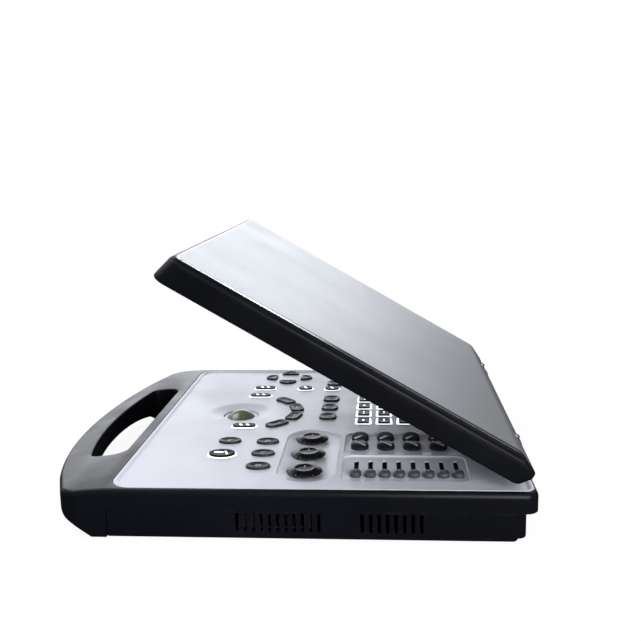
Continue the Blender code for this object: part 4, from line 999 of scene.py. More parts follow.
def panel_holes(bm):
    """Everything that passes through the control panel."""
    low, high = THROUGH_PANEL
    for outline, _, _ in BUTTONS.values():
        slab(bm, grown(outline, BUTTON_FIT), low, high)
    half_x, half_y = KEY_SIZE[0] / 2 + BUTTON_FIT, KEY_SIZE[1] / 2 + BUTTON_FIT
    for x in KEY_COLUMNS:
        for y in KEY_ROWS:
            slab(bm, box_about(x, y, half_x, half_y, 2.2 * MM, 4), low, high)
    for node in ROCKERS:
        centre = middle(node)
        slab(bm, moved(grown(rocker_outline(), BUTTON_FIT), centre.x, centre.y), low, high)
    for node in SLIDERS:
        centre = middle(node)
        reach = SLIDER_STEM[0] / 2 + 1 * MM
        x_range = (centre.x - SLIDER_TRAVEL - reach, centre.x + reach)
        y_range = (centre.y - SLOT_WIDTH / 2, centre.y + SLOT_WIDTH / 2)
        slab(bm, rounded_box(x_range, y_range, SLOT_WIDTH * 0.45, 4), low, high)
    for node in KNOBS:
        centre = middle(node)
        hole = KNOB_SHAFT_RADIUS + 0.4 * MM
        turned(bm, [(hole, low), (hole, high)], centre, 32)
    turned(bm, [(RING_RADIUS + GAP, low), (RING_RADIUS + GAP, high)], BALL, 64)
    for node in ("hinge_bracket_left", "hinge_bracket_right"):
        bracket_low, bracket_high = box(node)
        web = HINGE_WEB_HALF + GAP
        brick(bm, (bracket_low.x - GAP, HINGE.y - web, low), (bracket_high.x + GAP, HINGE.y + web, high))


def make_control_panel():
    outline = panel_outline()
    lip = 0.8 * MM

    def bowl(bm):
        radius, bottom = DISH_RADIUS + 2 * MM, PANEL_TOP_Z - DISH_DEPTH - 1 * MM
        profile = [
            (RING_RADIUS + 4 * MM, bottom),
            (radius, PANEL_BOTTOM_Z - 0.4 * MM),
            (radius, PANEL_TOP_Z - 0.5 * MM),
        ]
        turned(bm, profile, BALL, 96)

    def dish(bm):
        """A shallow sphere whose mouth runs into the panel with a soft round."""
        sphere = (DISH_RADIUS**2 + DISH_DEPTH**2) / (2 * DISH_DEPTH)
        soft = 5 * MM
        steps = 14
        profile = []
        for i in range(steps + 1):
            r = 4 * MM + (DISH_RADIUS - soft / 2 - 4 * MM) * i / steps
            profile.append((r, PANEL_TOP_Z - DISH_DEPTH + sphere - math.sqrt(sphere**2 - r**2)))
        last_r, last_z = profile[-1]
        for i in range(1, 7):
            share = i / 6
            rise = (PANEL_TOP_Z - last_z) * (1 - (1 - share) ** 2)
            profile.append((last_r + soft * share, last_z + rise + 0.002 * MM * share))
        profile.append((last_r + soft, PANEL_TOP_Z + 3 * MM))
        turned(bm, profile, BALL, 128)

    def pockets(bm):
        far, near = KNOB_POCKET_X
        stadium = arc((near, KNOB_POCKET_Y), KNOB_POCKET_RADIUS, -90, 90, 32)
        stadium += arc((far, KNOB_POCKET_Y), KNOB_POCKET_RADIUS, 90, 270, 32)
        soft, depth, steps = 0.9 * MM, PANEL_TOP_Z - POCKET_Z, 5
        for shape in (stadium, *(rounded_box(x_range, POCKET_Y, 7 * MM) for x_range in POCKETS_X)):
            rings = []
            for i in range(steps + 1):
                share = i / steps
                rings.append(at_level(grown(shape, -soft * (1 - share)), POCKET_Z + depth * share**1.6))
            stack(bm, [*rings, at_level(shape, PANEL_TOP_Z + 3 * MM)])

    def lip_space(bm):
        """The panel lies below its rim and meets it in a soft S-shaped slope."""
        rings = []
        steps = 8
        for i in range(steps + 1):
            share = i / steps
            rise = (1 - math.cos(math.pi * share)) / 2 * (RIM_Z - PANEL_TOP_Z)
            rings.append(at_level(grown(outline, -LIP_FLAT - LIP_SLOPE * (1 - share)), PANEL_TOP_Z + rise))
        rings.append(at_level(grown(outline, -LIP_FLAT), RIM_Z + 5 * MM))
        stack(bm, rings)

    panel = solid(stack, [at_level(outline, PANEL_BOTTOM_Z), *rounded_rim(outline, RIM_Z, lip, lip, 4)])
    carve(panel, lip_space)
    carve(panel, bowl, operation="UNION")
    carve(panel, dish)
    carve(panel, pockets)
    carve(panel, panel_holes)
    soft_edges(panel, 0.22 * MM, 2, 42)
    publish(panel, "control_panel_plate", "control_panel", [PANEL])


# ---------- buttons ----------

# Caps start a little inside their flange or skirt
CAP_LOW_Z = FLANGE_TOP_Z - 0.2 * MM
SKIRT_TOP_Z = BUTTON_TOP_Z - 1.5 * MM
LIT_CAP_LOW_Z = SKIRT_TOP_Z - 0.3 * MM


def flange(bm, outline, low):
    slab(bm, grown(outline, FLANGE_LIP), low, FLANGE_TOP_Z)


def arrow(bm, x, y, z, size, degrees):
    outline = [(size, 0), (-size * 0.6, size * 0.9), (-size * 0.6, -size * 0.9)]
    slab(bm, moved(turned_outline(outline, degrees), x, y), z - MARK_DEPTH, z, 1)


def legend(bm, kind, index, x, y, z, turn):
    """Plain generic marks: arrows, bars and dots."""
    if kind == "cursor":
        arrow(bm, x, y, z, 1.6 * MM, turn)
    elif kind == "arc":
        bar(bm, x, y, z, 7 * MM, 0.8 * MM, turn + 90)
        bar(bm, *around((x, y), 1.8 * MM, turn), z, 3.5 * MM, 0.7 * MM, turn + 90)
    elif kind == "menu":
        for i in range(3):
            bar(bm, x + (i - 1) * 1.7 * MM, y, z, 4.5 * MM, 0.7 * MM, 90)
    else:
        bar(bm, x - 2 * MM, y, z, 5 * MM, 0.8 * MM, 90)
        bar(bm, x + 0.3 * MM, y - 1 * MM, z, 3.2 * MM, 0.8 * MM, 90)
        if index % 2:
            bar(bm, x - 1 * MM, y + 1.6 * MM, z, 3 * MM, 0.8 * MM)


def make_dark_buttons():
    for node, (outline, (x, y), turn) in BUTTONS.items():
        kind = node.split("_")[0]
        if kind in ("lit", "freeze"):
            continue
        dish, edge = 1.05 * MM, 0.8 * MM
        low = box(node)[0].z

        def body(bm):
            flange(bm, outline, low)
            round_cap(bm, outline, CAP_LOW_Z, BUTTON_TOP_Z, edge, dish)
            index = int(node[-1]) if node[-1].isdigit() else 0
            legend(bm, kind, index, x, y, BUTTON_TOP_Z - dish * 0.8, turn)

        publish(solid(body), f"{node}_cap", node, [BUTTON, INK])


def lit_skirt(bm, outline, low):
    """The translucent flange and skirt of a backlit button."""
    flange(bm, outline, low)
    round_cap(bm, outline, CAP_LOW_Z, SKIRT_TOP_Z, 0.7 * MM, dish_rings=1)


def make_lit_buttons():
    for node, (outline, (x, y), _) in BUTTONS.items():
        if not node.startswith("lit"):
            continue
        half_x, half_y = flat_size(node)
        low = box(node)[0].z
        wide = half_y > 9 * MM

        def body(bm):
            lit_skirt(bm, outline, low)
            cap_x, cap_y = half_x - 1.4 * MM, half_y - 1.5 * MM
            cap = box_about(x, y, cap_x, cap_y, cap_x * 0.96)
            dish = 0.4 * MM
            round_cap(bm, cap, LIT_CAP_LOW_Z, BUTTON_TOP_Z, 0.6 * MM, dish, slot=1, dish_rings=4)
            for shift in (-2.9 * MM, 2.9 * MM) if wide else (0.0,):
                mark_z = BUTTON_TOP_Z - dish * 0.6
                bar(bm, x, y + shift, mark_z, cap_x * 1.7, 2.2 * MM, 24, slot=0, thickness=0.6 * MM)

        publish(solid(body), f"{node}_cap", node, [LIT, KEY_DARK])


def make_freeze_button():
    node = "freeze_button"
    outline, (x, y), _ = BUTTONS[node]
    low = box(node)[0].z
    half_x, half_y = flat_size(node)

    def body(bm):
        lit_skirt(bm, outline, low)
        cap = moved(ellipse(half_x - 1.3 * MM, half_y - 1.5 * MM), x, y)
        round_cap(bm, cap, LIT_CAP_LOW_Z, BUTTON_TOP_Z, 0.7 * MM, 0.6 * MM, slot=1)
        z = BUTTON_TOP_Z - 0.25 * MM
        bar(bm, x + 0.4 * MM, y + 3.4 * MM, z, 8 * MM, 1.5 * MM, 20, slot=0, thickness=0.5 * MM)
        swoosh_outer = arc((x + 6 * MM, y - 3 * MM), 8.5 * MM, 150, 205, 12)
        swoosh_inner = arc((x + 6 * MM, y - 3 * MM), 6.4 * MM, 205, 150, 12)
        slab(bm, swoosh_outer + swoosh_inner, z - 0.5 * MM, z, 0)

    publish(solid(body), "freeze_button_cap", node, [LIT, FREEZE_DARK])


KEY_MARKS = (
    ((0, 4, 2),),
    ((0, 8, 1.3),),
    ((-2.6, 3.4, 1.3), (2.6, 3.4, 1.3)),
    ((-1.6, 5, 1.3), (3.4, 1.6, 1.5)),
)


def key_mark(bm, kind, x, y, z):
    """One of four plain marks: a short thick bar, a long bar, two dashes, or a bar with a dot."""
    for shift, length, width in KEY_MARKS[kind]:
        bar(bm, x + shift * MM, y, z, length * MM, width * MM, slot=0, thickness=0.6 * MM)


def make_keyboard():
    low, high = box("keypad_mat")

    def body(bm):
        slab(bm, rounded_box((low.x, high.x), (low.y, high.y), 3 * MM), low.z, FLANGE_TOP_Z)
        half_x, half_y = KEY_SIZE[0] / 2, KEY_SIZE[1] / 2
        cap_x, cap_y, dish = half_x - 1.9 * MM, half_y - 1.6 * MM, 0.5 * MM
        skirt_top = high.z - 1.3 * MM
        for column, x in enumerate(KEY_COLUMNS):
            for row, y in enumerate(KEY_ROWS):
                skirt = box_about(x, y, half_x, half_y, 2 * MM, 4)
                round_cap(bm, skirt, CAP_LOW_Z, skirt_top, 0.6 * MM, steps=3, dish_rings=1)
                cap = box_about(x, y, cap_x, cap_y, 1.4 * MM, 4)
                round_cap(bm, cap, skirt_top - 0.3 * MM, high.z, 0.5 * MM, dish, 1, steps=3, dish_rings=4)
                key_mark(bm, (2 * column + row) % 4, x, y, high.z - dish * 0.75)

    publish(solid(body), "keyboard_mat", "keypad_mat", [LIT, KEY_DARK])


# ---------- trackball, knobs, sliders, rockers ----------


def make_trackball():
    def sphere(bm):
        bmesh.ops.create_uvsphere(bm, u_segments=96, v_segments=48, radius=BALL_RADIUS)
        bmesh.ops.translate(bm, verts=bm.verts, vec=BALL)

    publish(solid(sphere), "trackball_ball", "trackball", [BALL_PAINT])

    low, high = RING_LOW.z, RING_HIGH.z
    inner_low = math.sqrt(BALL_RADIUS**2 - (low - BALL.z) ** 2) + 0.25 * MM
    inner_high = math.sqrt(BALL_RADIUS**2 - (high - BALL.z) ** 2) + 0.3 * MM
    crown = 0.35 * MM
    profile = [
        (inner_low, low),
        (RING_RADIUS, low),
        (RING_RADIUS, high - crown),
        (RING_RADIUS - crown, high - 0.05 * MM),
        (inner_high + 0.9 * MM, high),
        (inner_high + 0.2 * MM, high - 0.1 * MM),
        (inner_high, high - 0.4 * MM),
    ]
    piece = solid(turned, profile, BALL, 96, closed=True)

    def spanner_notches(bm):
        for i in range(3):
            x, y = around((BALL.x, BALL.y), RING_RADIUS, 90 + 120 * i)
            half = 0.9 * MM
            brick(bm, (x - half, y - half, low + 0.5 * MM), (x + half, y + half, high + 1 * MM))

    carve(piece, spanner_notches)
    publish(piece, "trackball_retainer", "trackball_ring", [PANEL])


def make_knobs():
    """Low knobs: a scalloped rim part way up, sloping in to a dished top."""
    for node in KNOBS:
        low, high = box(node)
        centre = middle(node)
        base, top = POCKET_Z + GAP, high.z
        rim = (high.x - low.x) / 2
        lobes = 18

        def scallop(radius, angle):
            """Finger notches, deepest where the knob is widest."""
            depth = 0.6 * MM * max(0.0, min(1.0, (radius - 10.4 * MM) / (1.6 * MM)))
            return radius - depth * (0.5 - 0.5 * math.cos(lobes * angle)) ** 2

        def body(bm):
            profile = [
                (KNOB_SHAFT_RADIUS, low.z),
                (KNOB_SHAFT_RADIUS, base),
                (10.4 * MM, base),
                (11.2 * MM, base + 0.3 * MM),
                (rim - 0.6 * MM, base + 1.1 * MM),
                (rim - 0.1 * MM, base + 1.5 * MM),
                (rim, base + 1.8 * MM),
                (rim - 0.15 * MM, base + 2.15 * MM),
                (rim - 0.7 * MM, base + 2.5 * MM),
                (11.0 * MM, base + 3.05 * MM),
                (9.0 * MM, top - 0.5 * MM),
                (7.6 * MM, top - 0.12 * MM),
                (7.0 * MM, top),
                (6.6 * MM, top - 0.1 * MM),
                (6.3 * MM, top - 0.4 * MM),
                (5.6 * MM, top - 0.6 * MM),
                (3.6 * MM, top - 0.75 * MM),
                (2.0 * MM, top - 0.8 * MM),
                (0.4 * MM, top - 0.8 * MM),
            ]
            turned(bm, profile, centre, 180, scallop=scallop)
            bar(bm, centre.x - 4 * MM, centre.y, top - 0.55 * MM, 2.4 * MM, 0.7 * MM, thickness=0.5 * MM)

        publish(solid(body), f"{node}_grip", node, [KNOB, INK])


def make_sliders():
    for node in SLIDERS:
        low, high = box(node)
        centre = middle(node)
        base = POCKET_Z + GAP

        def body(bm):
            foot = rounded_box((low.x, high.x), (low.y, high.y), 3.4 * MM, 8)
            shoulder = base + 0.5 * (high.z - base)
            rings = [at_level(scaled(foot, 0.93), base), at_level(foot, base + 0.35 * MM)]
            rings.append(at_level(foot, shoulder))
            steps = 9
            for i in range(1, steps):
                a = math.pi / 2 * i / steps
                rise = (high.z - shoulder) * math.sin(a)
                rings.append(at_level(scaled(foot, math.cos(a)), shoulder + rise))
            stack(bm, rings)
            stem = Vector((SLIDER_STEM[0] / 2, SLIDER_STEM[1] / 2, 0))
            stem_top = Vector((centre.x, centre.y, base + 0.4 * MM))
            brick(bm, Vector((centre.x, centre.y, low.z)) - stem, stem_top + stem)
            bar(bm, centre.x, centre.y, high.z - 0.02 * MM, 2.4 * MM, 0.6 * MM, 90)

        publish(solid(body), f"{node}_cap", node, [SLIDER, INK])


def make_rockers():
    outline = rocker_outline()
    for node in ROCKERS:
        low, high = box(node)
        centre = middle(node)

        def height(x):
            """The -x half slopes down to the waist. The +x half is a low dome, highest at its middle."""
            along = (x - centre.x) / ((high.x - low.x) / 2)
            waist_drop = 1.9 * MM
            if along < 0:
                return high.z - 0.1 * MM - waist_drop * (1 + along) ** 1.2
            return high.z - 0.4 * MM - 1.5 * MM * ((along - 0.5) / 0.5) ** 2

        def body(bm):
            plan = moved(outline, centre.x, centre.y)
            edge, steps = 0.9 * MM, 5
            rings = [at_level(plan, low.z)]
            for i in range(steps + 1):
                a = math.pi / 2 * i / steps
                inset = grown(plan, -edge * (1 - math.cos(a)))
                rings.append([(x, y, height(x) - edge + edge * math.sin(a)) for x, y in inset])
            top = stack(bm, rings)[-1]
            bmesh.ops.triangulate(bm, faces=[top])
            for sign, width in ((-1, 2.2 * MM), (1, 1.6 * MM)):
                x = centre.x + sign * 9 * MM
                bar(bm, x, centre.y, height(x) + 0.12 * MM, 13 * MM, width, sign * 42, thickness=1 * MM)

        publish(solid(body), f"{node}_pad", node, [KEY_DARK, INK], smooth=50)


# ---------- lid ----------

SLOPE_S = 14 * MM
LID_REAR_TOP_T = 12.2 * MM
BEND_RADIUS = 14 * MM
# Half width of the lid at each height: side face, rounded shoulder, ledge, and the wall beside the cover
LID_STEP = [
    (15.2 * MM, 165 * MM),
    (15.8 * MM, 164.88 * MM),
    (16.3 * MM, 164.55 * MM),
    (16.65 * MM, 164.1 * MM),
    (16.85 * MM, 163.5 * MM),
    (17.05 * MM, 161.75 * MM),
    (17.25 * MM, 161.5 * MM),
    (18.65 * MM, 161.45 * MM),
    (18.8 * MM, 161.3 * MM),
    (18.85 * MM, 160.2 * MM),
]
LID_FRONT = [(0.0, 279 * MM), (16.5 * MM, 274.3 * MM), (18.8 * MM, 272.4 * MM), (18.85 * MM, 269 * MM)]


def rear_profile():
    """The lid's rear edge in (s, t), from the screen side up and over the slope to the flat back."""
    corners = [
        (40 * MM, 0, 0),
        (4.8 * MM, 0, 5 * MM),
        (LID_REAR_S, 7.6 * MM, 3 * MM),
        (LID_REAR_S, LID_REAR_TOP_T, 2.2 * MM),
        (SLOPE_S, LID_THICKNESS, BEND_RADIUS),
        (60 * MM, LID_THICKNESS, 0),
    ]
    return filleted(corners, 10)[1:-1]


REAR_PROFILE = rear_profile()


def rear_s(t):
    """s of the lid's rear edge at height t."""
    for (s0, t0), (s1, t1) in zip(REAR_PROFILE, REAR_PROFILE[1:]):
        if t0 <= t <= t1 and t1 > t0:
            return s0 + (s1 - s0) * (t - t0) / (t1 - t0)
    return REAR_PROFILE[0][0] if t <= REAR_PROFILE[0][1] else REAR_PROFILE[-1][0]


def rounding(depth, radius):
    """How far a rounded edge is inset at a depth below the face it turns into."""
    if depth >= radius:
        return 0.0
    return radius - math.sqrt(max(0.0, radius**2 - (radius - depth) ** 2))


def between(table, value):
    """Reads a table of (value, result) in rising order, straight between its rows and held past its ends."""
    if value <= table[0][0]:
        return table[0][1]
    for (v0, r0), (v1, r1) in zip(table, table[1:]):
        if value <= v1:
            return r0 + (r1 - r0) * (value - v0) / (v1 - v0)
    return table[-1][1]


def lid_plan(t):
    """The lid's outer form from above, at height t."""
    half = between(LID_STEP, t) - rounding(t, 1.2 * MM)
    front = between(LID_FRONT, t) - rounding(t, 2.5 * MM)
    step = SIDE - half
    y_range = (lid_y(front), lid_y(rear_s(t)))
    return shell_outline(half, y_range, 10 * MM - step, 5 * MM - 0.8 * step, 12)


def lid_levels():
    """Heights of the lid's rings: those of its rear profile, and more where its other edges are round."""
    low = [2.5 * MM * (1 - math.cos(math.pi / 2 * i / 6)) for i in range(7)]
    high = [t for t, _ in [*LID_STEP, *LID_FRONT]]
    levels = sorted({*low, *high, 0.15 * MM, 1.2 * MM, *[t for _, t in REAR_PROFILE]})
    return [t for i, t in enumerate(levels) if i == 0 or t - levels[i - 1] > 0.02 * MM]


COVER_SIDE = lid_box("lid_cover")[1].x
COVER_THICKNESS = 2.5 * MM
COVER_S = (0.8 * MM, 271 * MM)
MODULE_LOW, MODULE_HIGH = lid_box("lcd_module")
BEZEL_Z = (lid_z(6.5 * MM), lid_z(8.5 * MM))
BEZEL_EDGE = ((-MODULE_HIGH.x, MODULE_HIGH.x), (11 * MM, 270 * MM))
WINDOW = ((-152.5 * MM, 152.5 * MM), (24.5 * MM, 253.5 * MM))
HINGES = ((-1, "left"), (1, "right"))
HINGE_BORE, HINGE_SHAFT = 2.3 * MM, 2 * MM
ARM_THICKNESS = 4 * MM
LEAF_T = (7.8 * MM, 10.8 * MM)
# The hinge's hood, which shows behind the lid's slope
HOOD_S, HOOD_T = (3.6 * MM, 10.2 * MM), (9 * MM, 17.4 * MM)


def lid_brick(bm, x_range, s_range, z_range):
    brick(bm, (x_range[0], lid_y(s_range[1]), z_range[0]), (x_range[1], lid_y(s_range[0]), z_range[1]))


def offset_line(points, depth):
    """An open line of (s, t) points moved by depth to the inside of the lid's back."""
    moved_points = []
    for i, point in enumerate(points):
        back = Vector(points[max(i - 1, 0)])
        ahead = Vector(points[min(i + 1, len(points) - 1)])
        along = (ahead - back).normalized()
        moved_points.append((point[0] - along.y * depth, point[1] + along.x * depth))
    return moved_points


def cover_shape(bm, margin, top, steps=16):
    """The cover's section in (s, t), flat then bent down over the slope, carried across the lid."""
    slope = (LID_THICKNESS - LID_REAR_TOP_T) / (SLOPE_S - LID_REAR_S)
    rear = COVER_S[0] - margin
    corners = [
        (COVER_S[1] + margin, LID_THICKNESS, 0),
        (SLOPE_S, LID_THICKNESS, BEND_RADIUS),
        (rear, LID_THICKNESS - (SLOPE_S - rear) * slope, 0),
    ]
    back = filleted(corners, steps)
    section = offset_line(back, -top) + offset_line(back, COVER_THICKNESS + margin)[::-1]
    reach = COVER_SIDE + margin
    along_x(bm, [(lid_y(s), lid_z(t)) for s, t in section], -reach, reach)


def cover_plan(bm, margin):
    """The cover's outline from above, through the whole lid."""
    reach = COVER_SIDE + margin
    y_range = (lid_y(COVER_S[1] + margin), lid_y(COVER_S[0] - 10 * MM))
    slab(bm, rounded_box((-reach, reach), y_range, 6 * MM, 12), lid_z(-20 * MM), lid_z(40 * MM))


def arm_room(word):
    """Half width out to which the lid leaves room for a hinge's arm."""
    low, high = lid_box(f"hinge_arm_{word}")
    return max(abs(low.x), abs(high.x)) + 1 * MM


def hinge_spaces(bm):
    """The two gaps in the lid's rear edge where the hinges stand."""
    for side, word in HINGES:
        low, high = box(f"hinge_bracket_{word}")
        inner = min(abs(low.x), abs(high.x)) - 1 * MM
        x_range = sorted((side * inner, side * arm_room(word)))
        lid_brick(bm, x_range, (-10 * MM, 7.4 * MM), (lid_z(-5 * MM), lid_z(30 * MM)))


def leaf_slots(bm):
    """The two slots in which the arms' leaves lie."""
    for side, word in HINGES:
        outer = arm_room(word)
        x_range = sorted((side * (outer - 5.5 * MM), side * outer))
        lid_brick(bm, x_range, (5 * MM, 17.8 * MM), (lid_z(LEAF_T[0] - GAP), lid_z(LEAF_T[1] + GAP)))


def lid_pocket(bm, x_range, s_range, low, high, radius, soft):
    """A pocket open towards low, whose mouth is wider than its floor by soft."""
    outline = rounded_box(x_range, (lid_y(s_range[1]), lid_y(s_range[0])), radius)
    stack(bm, [at_level(grown(outline, soft), low), at_level(outline, high)])


def make_lid_frame():
    lid = solid(stack, [at_level(lid_plan(t), lid_z(t)) for t in lid_levels()])
    rebate = solid(cover_shape, GAP, 6 * MM)
    carve(rebate, cover_plan, GAP, operation="INTERSECT")
    carve(lid, lambda bm: bm.from_mesh(rebate.data))
    bpy.data.objects.remove(rebate)

    module_x = MODULE_HIGH.x + 0.5 * MM
    module_s = (LID_HIGH.y - MODULE_HIGH.y - 3 * MM, LID_HIGH.y - MODULE_LOW.y + 3 * MM)
    carve(lid, lid_brick, (-module_x, module_x), module_s, (BEZEL_Z[1], lid_z(18 * MM)))
    carve(lid, lid_pocket, *BEZEL_EDGE, lid_z(-1 * MM), BEZEL_Z[0], 5 * MM, 0.8 * MM)
    carve(lid, lid_pocket, *WINDOW, lid_z(4 * MM), lid_z(12 * MM), 1.5 * MM, 0.9 * MM)
    carve(lid, hinge_spaces)
    carve(lid, leaf_slots)

    def bumpers(bm):
        """Four small round holes in the rim, where rest pads would sit."""
        for x in (-SIDE + 3.6 * MM, SIDE - 3.6 * MM):
            for s in (40 * MM, 236 * MM):
                radius = 1.7 * MM
                turned(bm, [(radius, lid_z(-1 * MM)), (radius, lid_z(0.5 * MM))], (x, lid_y(s)), 24)

    carve(lid, bumpers)
    soft_edges(lid, 0.3 * MM, 2, 33)
    publish(lid, "lid_frame_moulding", "lid_frame", [BLACK], lid=True)


def make_lid_cover():
    cover = solid(cover_shape, 0, 0)
    carve(cover, cover_plan, 0, operation="INTERSECT")
    carve(cover, hinge_spaces)
    # The rounded edge takes the trim, whose colour is a painted highlight
    soft_edges(cover, 1.1 * MM, 4, 40).modifiers["soft_edges"].material = 1
    publish(cover, "lid_back_cover", "lid_cover", [COVER, EDGE_HIGHLIGHT], lid=True)


def make_display():
    """Display module: a steel tray, a black border and the dark picture area behind glass."""
    low, high = MODULE_LOW, MODULE_HIGH

    def body(bm):
        def inset_box(x_inset, y_inset, radius, steps):
            x_range = (low.x + x_inset * MM, high.x - x_inset * MM)
            return rounded_box(x_range, (low.y + y_inset * MM, high.y - y_inset * MM), radius * MM, steps)

        slab(bm, inset_box(0, 0, 2, 4), low.z + 0.9 * MM, high.z, 1)
        slab(bm, inset_box(2, 3, 1.5, 4), low.z + 0.4 * MM, low.z + 1.2 * MM, 2)
        picture = inset_box(6.5, 7, 0.5, 3)
        rings = [at_level(grown(picture, -0.25 * MM), low.z), at_level(picture, low.z + 0.25 * MM)]
        rings.append(at_level(picture, low.z + 0.8 * MM))
        stack(bm, rings, 0)

    publish(solid(body), "display_module", "lcd_module", [GLASS, STEEL, INNER], lid=True)


def knuckle_radius(word):
    low, high = box(f"hinge_bracket_{word}")
    return (high.y - low.y) / 2 - 0.7 * MM


def make_hinge_bracket(word):
    """The barrel that stands on the base, bored for the arm's shaft."""
    node = f"hinge_bracket_{word}"
    low, high = box(node)
    axis, reach = (HINGE.y, HINGE.z), 4 * MM
    bracket = solid(rod, (low.x, *axis), (high.x, *axis), knuckle_radius(word), edge=0.8 * MM)
    web_low = (low.x, HINGE.y - HINGE_WEB_HALF, low.z)
    web_high = (high.x, HINGE.y + HINGE_WEB_HALF, HINGE.z - 1.5 * MM)
    carve(bracket, brick, web_low, web_high, operation="UNION")
    carve(bracket, rod, (low.x - reach, *axis), (high.x + reach, *axis), HINGE_BORE)
    soft_edges(bracket, 0.3 * MM, 2, 40)
    publish(bracket, f"{node}_knuckle", node, [HINGE_METAL])


def make_hinge_arm(side, word):
    """The disc beside the barrel with its shaft, the leaf in the lid, and the hood behind the lid."""
    node = f"hinge_arm_{word}"
    low, high = lid_box(node)
    outer, inner = (high.x, low.x) if side > 0 else (low.x, high.x)
    disc_inner = outer - side * ARM_THICKNESS
    x0, x1 = sorted((disc_inner, outer))
    arm = solid(rod, (disc_inner, 0, 0), (outer, 0, 0), knuckle_radius(word) - GAP, edge=0.6 * MM)
    hood_low = (x0, lid_y(HOOD_S[1]), lid_z(HOOD_T[0]))
    hood_high = (x1, lid_y(HOOD_S[0]), lid_z(HOOD_T[1]))
    unions = (
        (rod, (inner, 0, 0), (disc_inner + side * 1 * MM, 0, 0), HINGE_SHAFT),
        (brick, (x0, low.y, lid_z(LEAF_T[0])), (x1, 0, lid_z(LEAF_T[1]))),
        (brick, hood_low, hood_high, 0, 1.5 * MM),
    )
    for part in unions:
        carve(arm, *part, operation="UNION")
    carve(arm, rod, (outer - side * 1 * MM, 0, 0), (outer + side * 3 * MM, 0, 0), 1.4 * MM, 6)
    soft_edges(arm, 0.25 * MM, 2, 40)
    publish(arm, f"{node}_knuckle", node, [HINGE_METAL], lid=True)


def make_hinges():
    for side, word in HINGES:
        make_hinge_bracket(word)
        make_hinge_arm(side, word)


# ---------- inside the base and on its far sides ----------


def make_probe_socket():
    low, high = box("probe_socket")
    face_x = low.x
    y_range, z_range = (low.y + 4 * MM, high.y - 4 * MM), (low.z + 3 * MM, high.z - 3 * MM)

    socket = solid(along_x, rounded_box((low.y, high.y), (low.z, high.z), 1.5 * MM, 5), low.x, high.x)
    carve(socket, along_x, rounded_box(y_range, z_range, 3 * MM, 6), face_x - 2 * MM, face_x + 11 * MM)
    soft_edges(socket, 0.4 * MM, 3, 40)

    def contacts(bm):
        """A block of contact pads standing in the recess."""
        inset = 2.6 * MM
        tongue_y = (y_range[0] + inset, y_range[1] - inset)
        tongue_z = (z_range[0] + inset, z_range[1] - inset)
        along_x(bm, rounded_box(tongue_y, tongue_z, 1 * MM, 4), face_x + 4 * MM, face_x + 11.5 * MM)
        columns, rows = 26, 4
        first = len(bm.faces)
        for i in range(columns):
            for j in range(rows):
                y = tongue_y[0] + (tongue_y[1] - tongue_y[0]) * (i + 1) / (columns + 1)
                z = tongue_z[0] + (tongue_z[1] - tongue_z[0]) * (j + 0.5) / rows
                half = 0.42 * MM
                brick(bm, (face_x + 3.8 * MM, y - half, z - half), (face_x + 4.2 * MM, y + half, z + half))
        bm.faces.ensure_lookup_table()
        for face in bm.faces[first:]:
            face.material_index = 1

    join(socket, solid(contacts))
    publish(socket, "probe_connector", "probe_socket", [INNER, GOLD])


# Middle, width, height and corner radius of each opening in the rear plate, in mm
PORTS = ((-46, 9, 9, 4.2), (-24, 17, 8, 1.2), (0, 14, 6, 0.8), (20, 14, 6, 0.8), (44, 16, 8, 1.0))


def make_io_plate():
    node = "rear_io_plate"
    low, high = box(node)
    centre = (low + high) / 2
    plan = rounded_box((low.x, high.x), (low.z, high.z), 1.2 * MM, 4)
    plate = solid(across_y, plan, low.y, high.y)

    def port(x, half_x, half_z, radius, steps=6):
        return box_about(x * MM, centre.z, half_x, half_z, radius, steps)

    def openings(bm):
        for x, width, height, radius in PORTS:
            outline = port(x, width / 2 * MM, height / 2 * MM, radius * MM)
            across_y(bm, outline, low.y - 3 * MM, high.y + 3 * MM)

    carve(plate, openings)
    soft_edges(plate, 0.15 * MM, 2, 40)

    def sockets(bm):
        """Connector shells and their tongues behind the openings."""
        front, back = high.y - 0.1 * MM, low.y - 6 * MM
        for x, width, height, radius in PORTS:
            half_x = (width / 2 - 0.3) * MM
            outer = port(x, half_x, (height / 2 - 0.3) * MM, radius * MM * 0.9)
            inner = grown(outer, -0.5 * MM)
            section = ((outer, front), (inner, front), (inner, back), (outer, back))
            stack(bm, [[(px, y, pz) for px, pz in ring] for ring, y in section], closed=True)
            across_y(bm, scaled(outer, 0.96), low.y - 7 * MM, low.y - 5.5 * MM, 1)
            tongue = port(x, half_x * 0.62, 0.8 * MM, 0.3 * MM, 3)
            across_y(bm, tongue, low.y - 5.6 * MM, centre.y - (high.y - low.y) * 0.2, 1)

    join(plate, solid(sockets))
    publish(plate, "rear_connector_plate", node, [STEEL, INNER])


def dress_inner_nodes():
    """CAD nodes whose shape is right keep it and get procedural materials."""
    finishes = {
        "control_board": DARK_BOARD,
        "main_board": BOARD,
        "battery_pack": WRAP,
        "fan_housing": INNER,
        "fan_impeller": INNER,
        "trackball_cup": INNER,
    }
    for node, material in finishes.items():
        obj = frame["nodes"][node]
        obj.data.materials.clear()
        obj.data.materials.append(material)
        soft_edges(obj, 0.2 * MM, 2, 40)


# ---------- stage, light and camera ----------


def area_light(name, place, target, size, power):
    data = bpy.data.lights.new(name, "AREA")
    data.shape = "RECTANGLE"
    data.size, data.size_y = size
    data.energy = power
    light = bpy.data.objects.new(name, data)
    light.location = place
    light.rotation_euler = (Vector(target) - Vector(place)).to_track_quat("-Z", "Y").to_euler()
    bpy.context.scene.collection.objects.link(light)


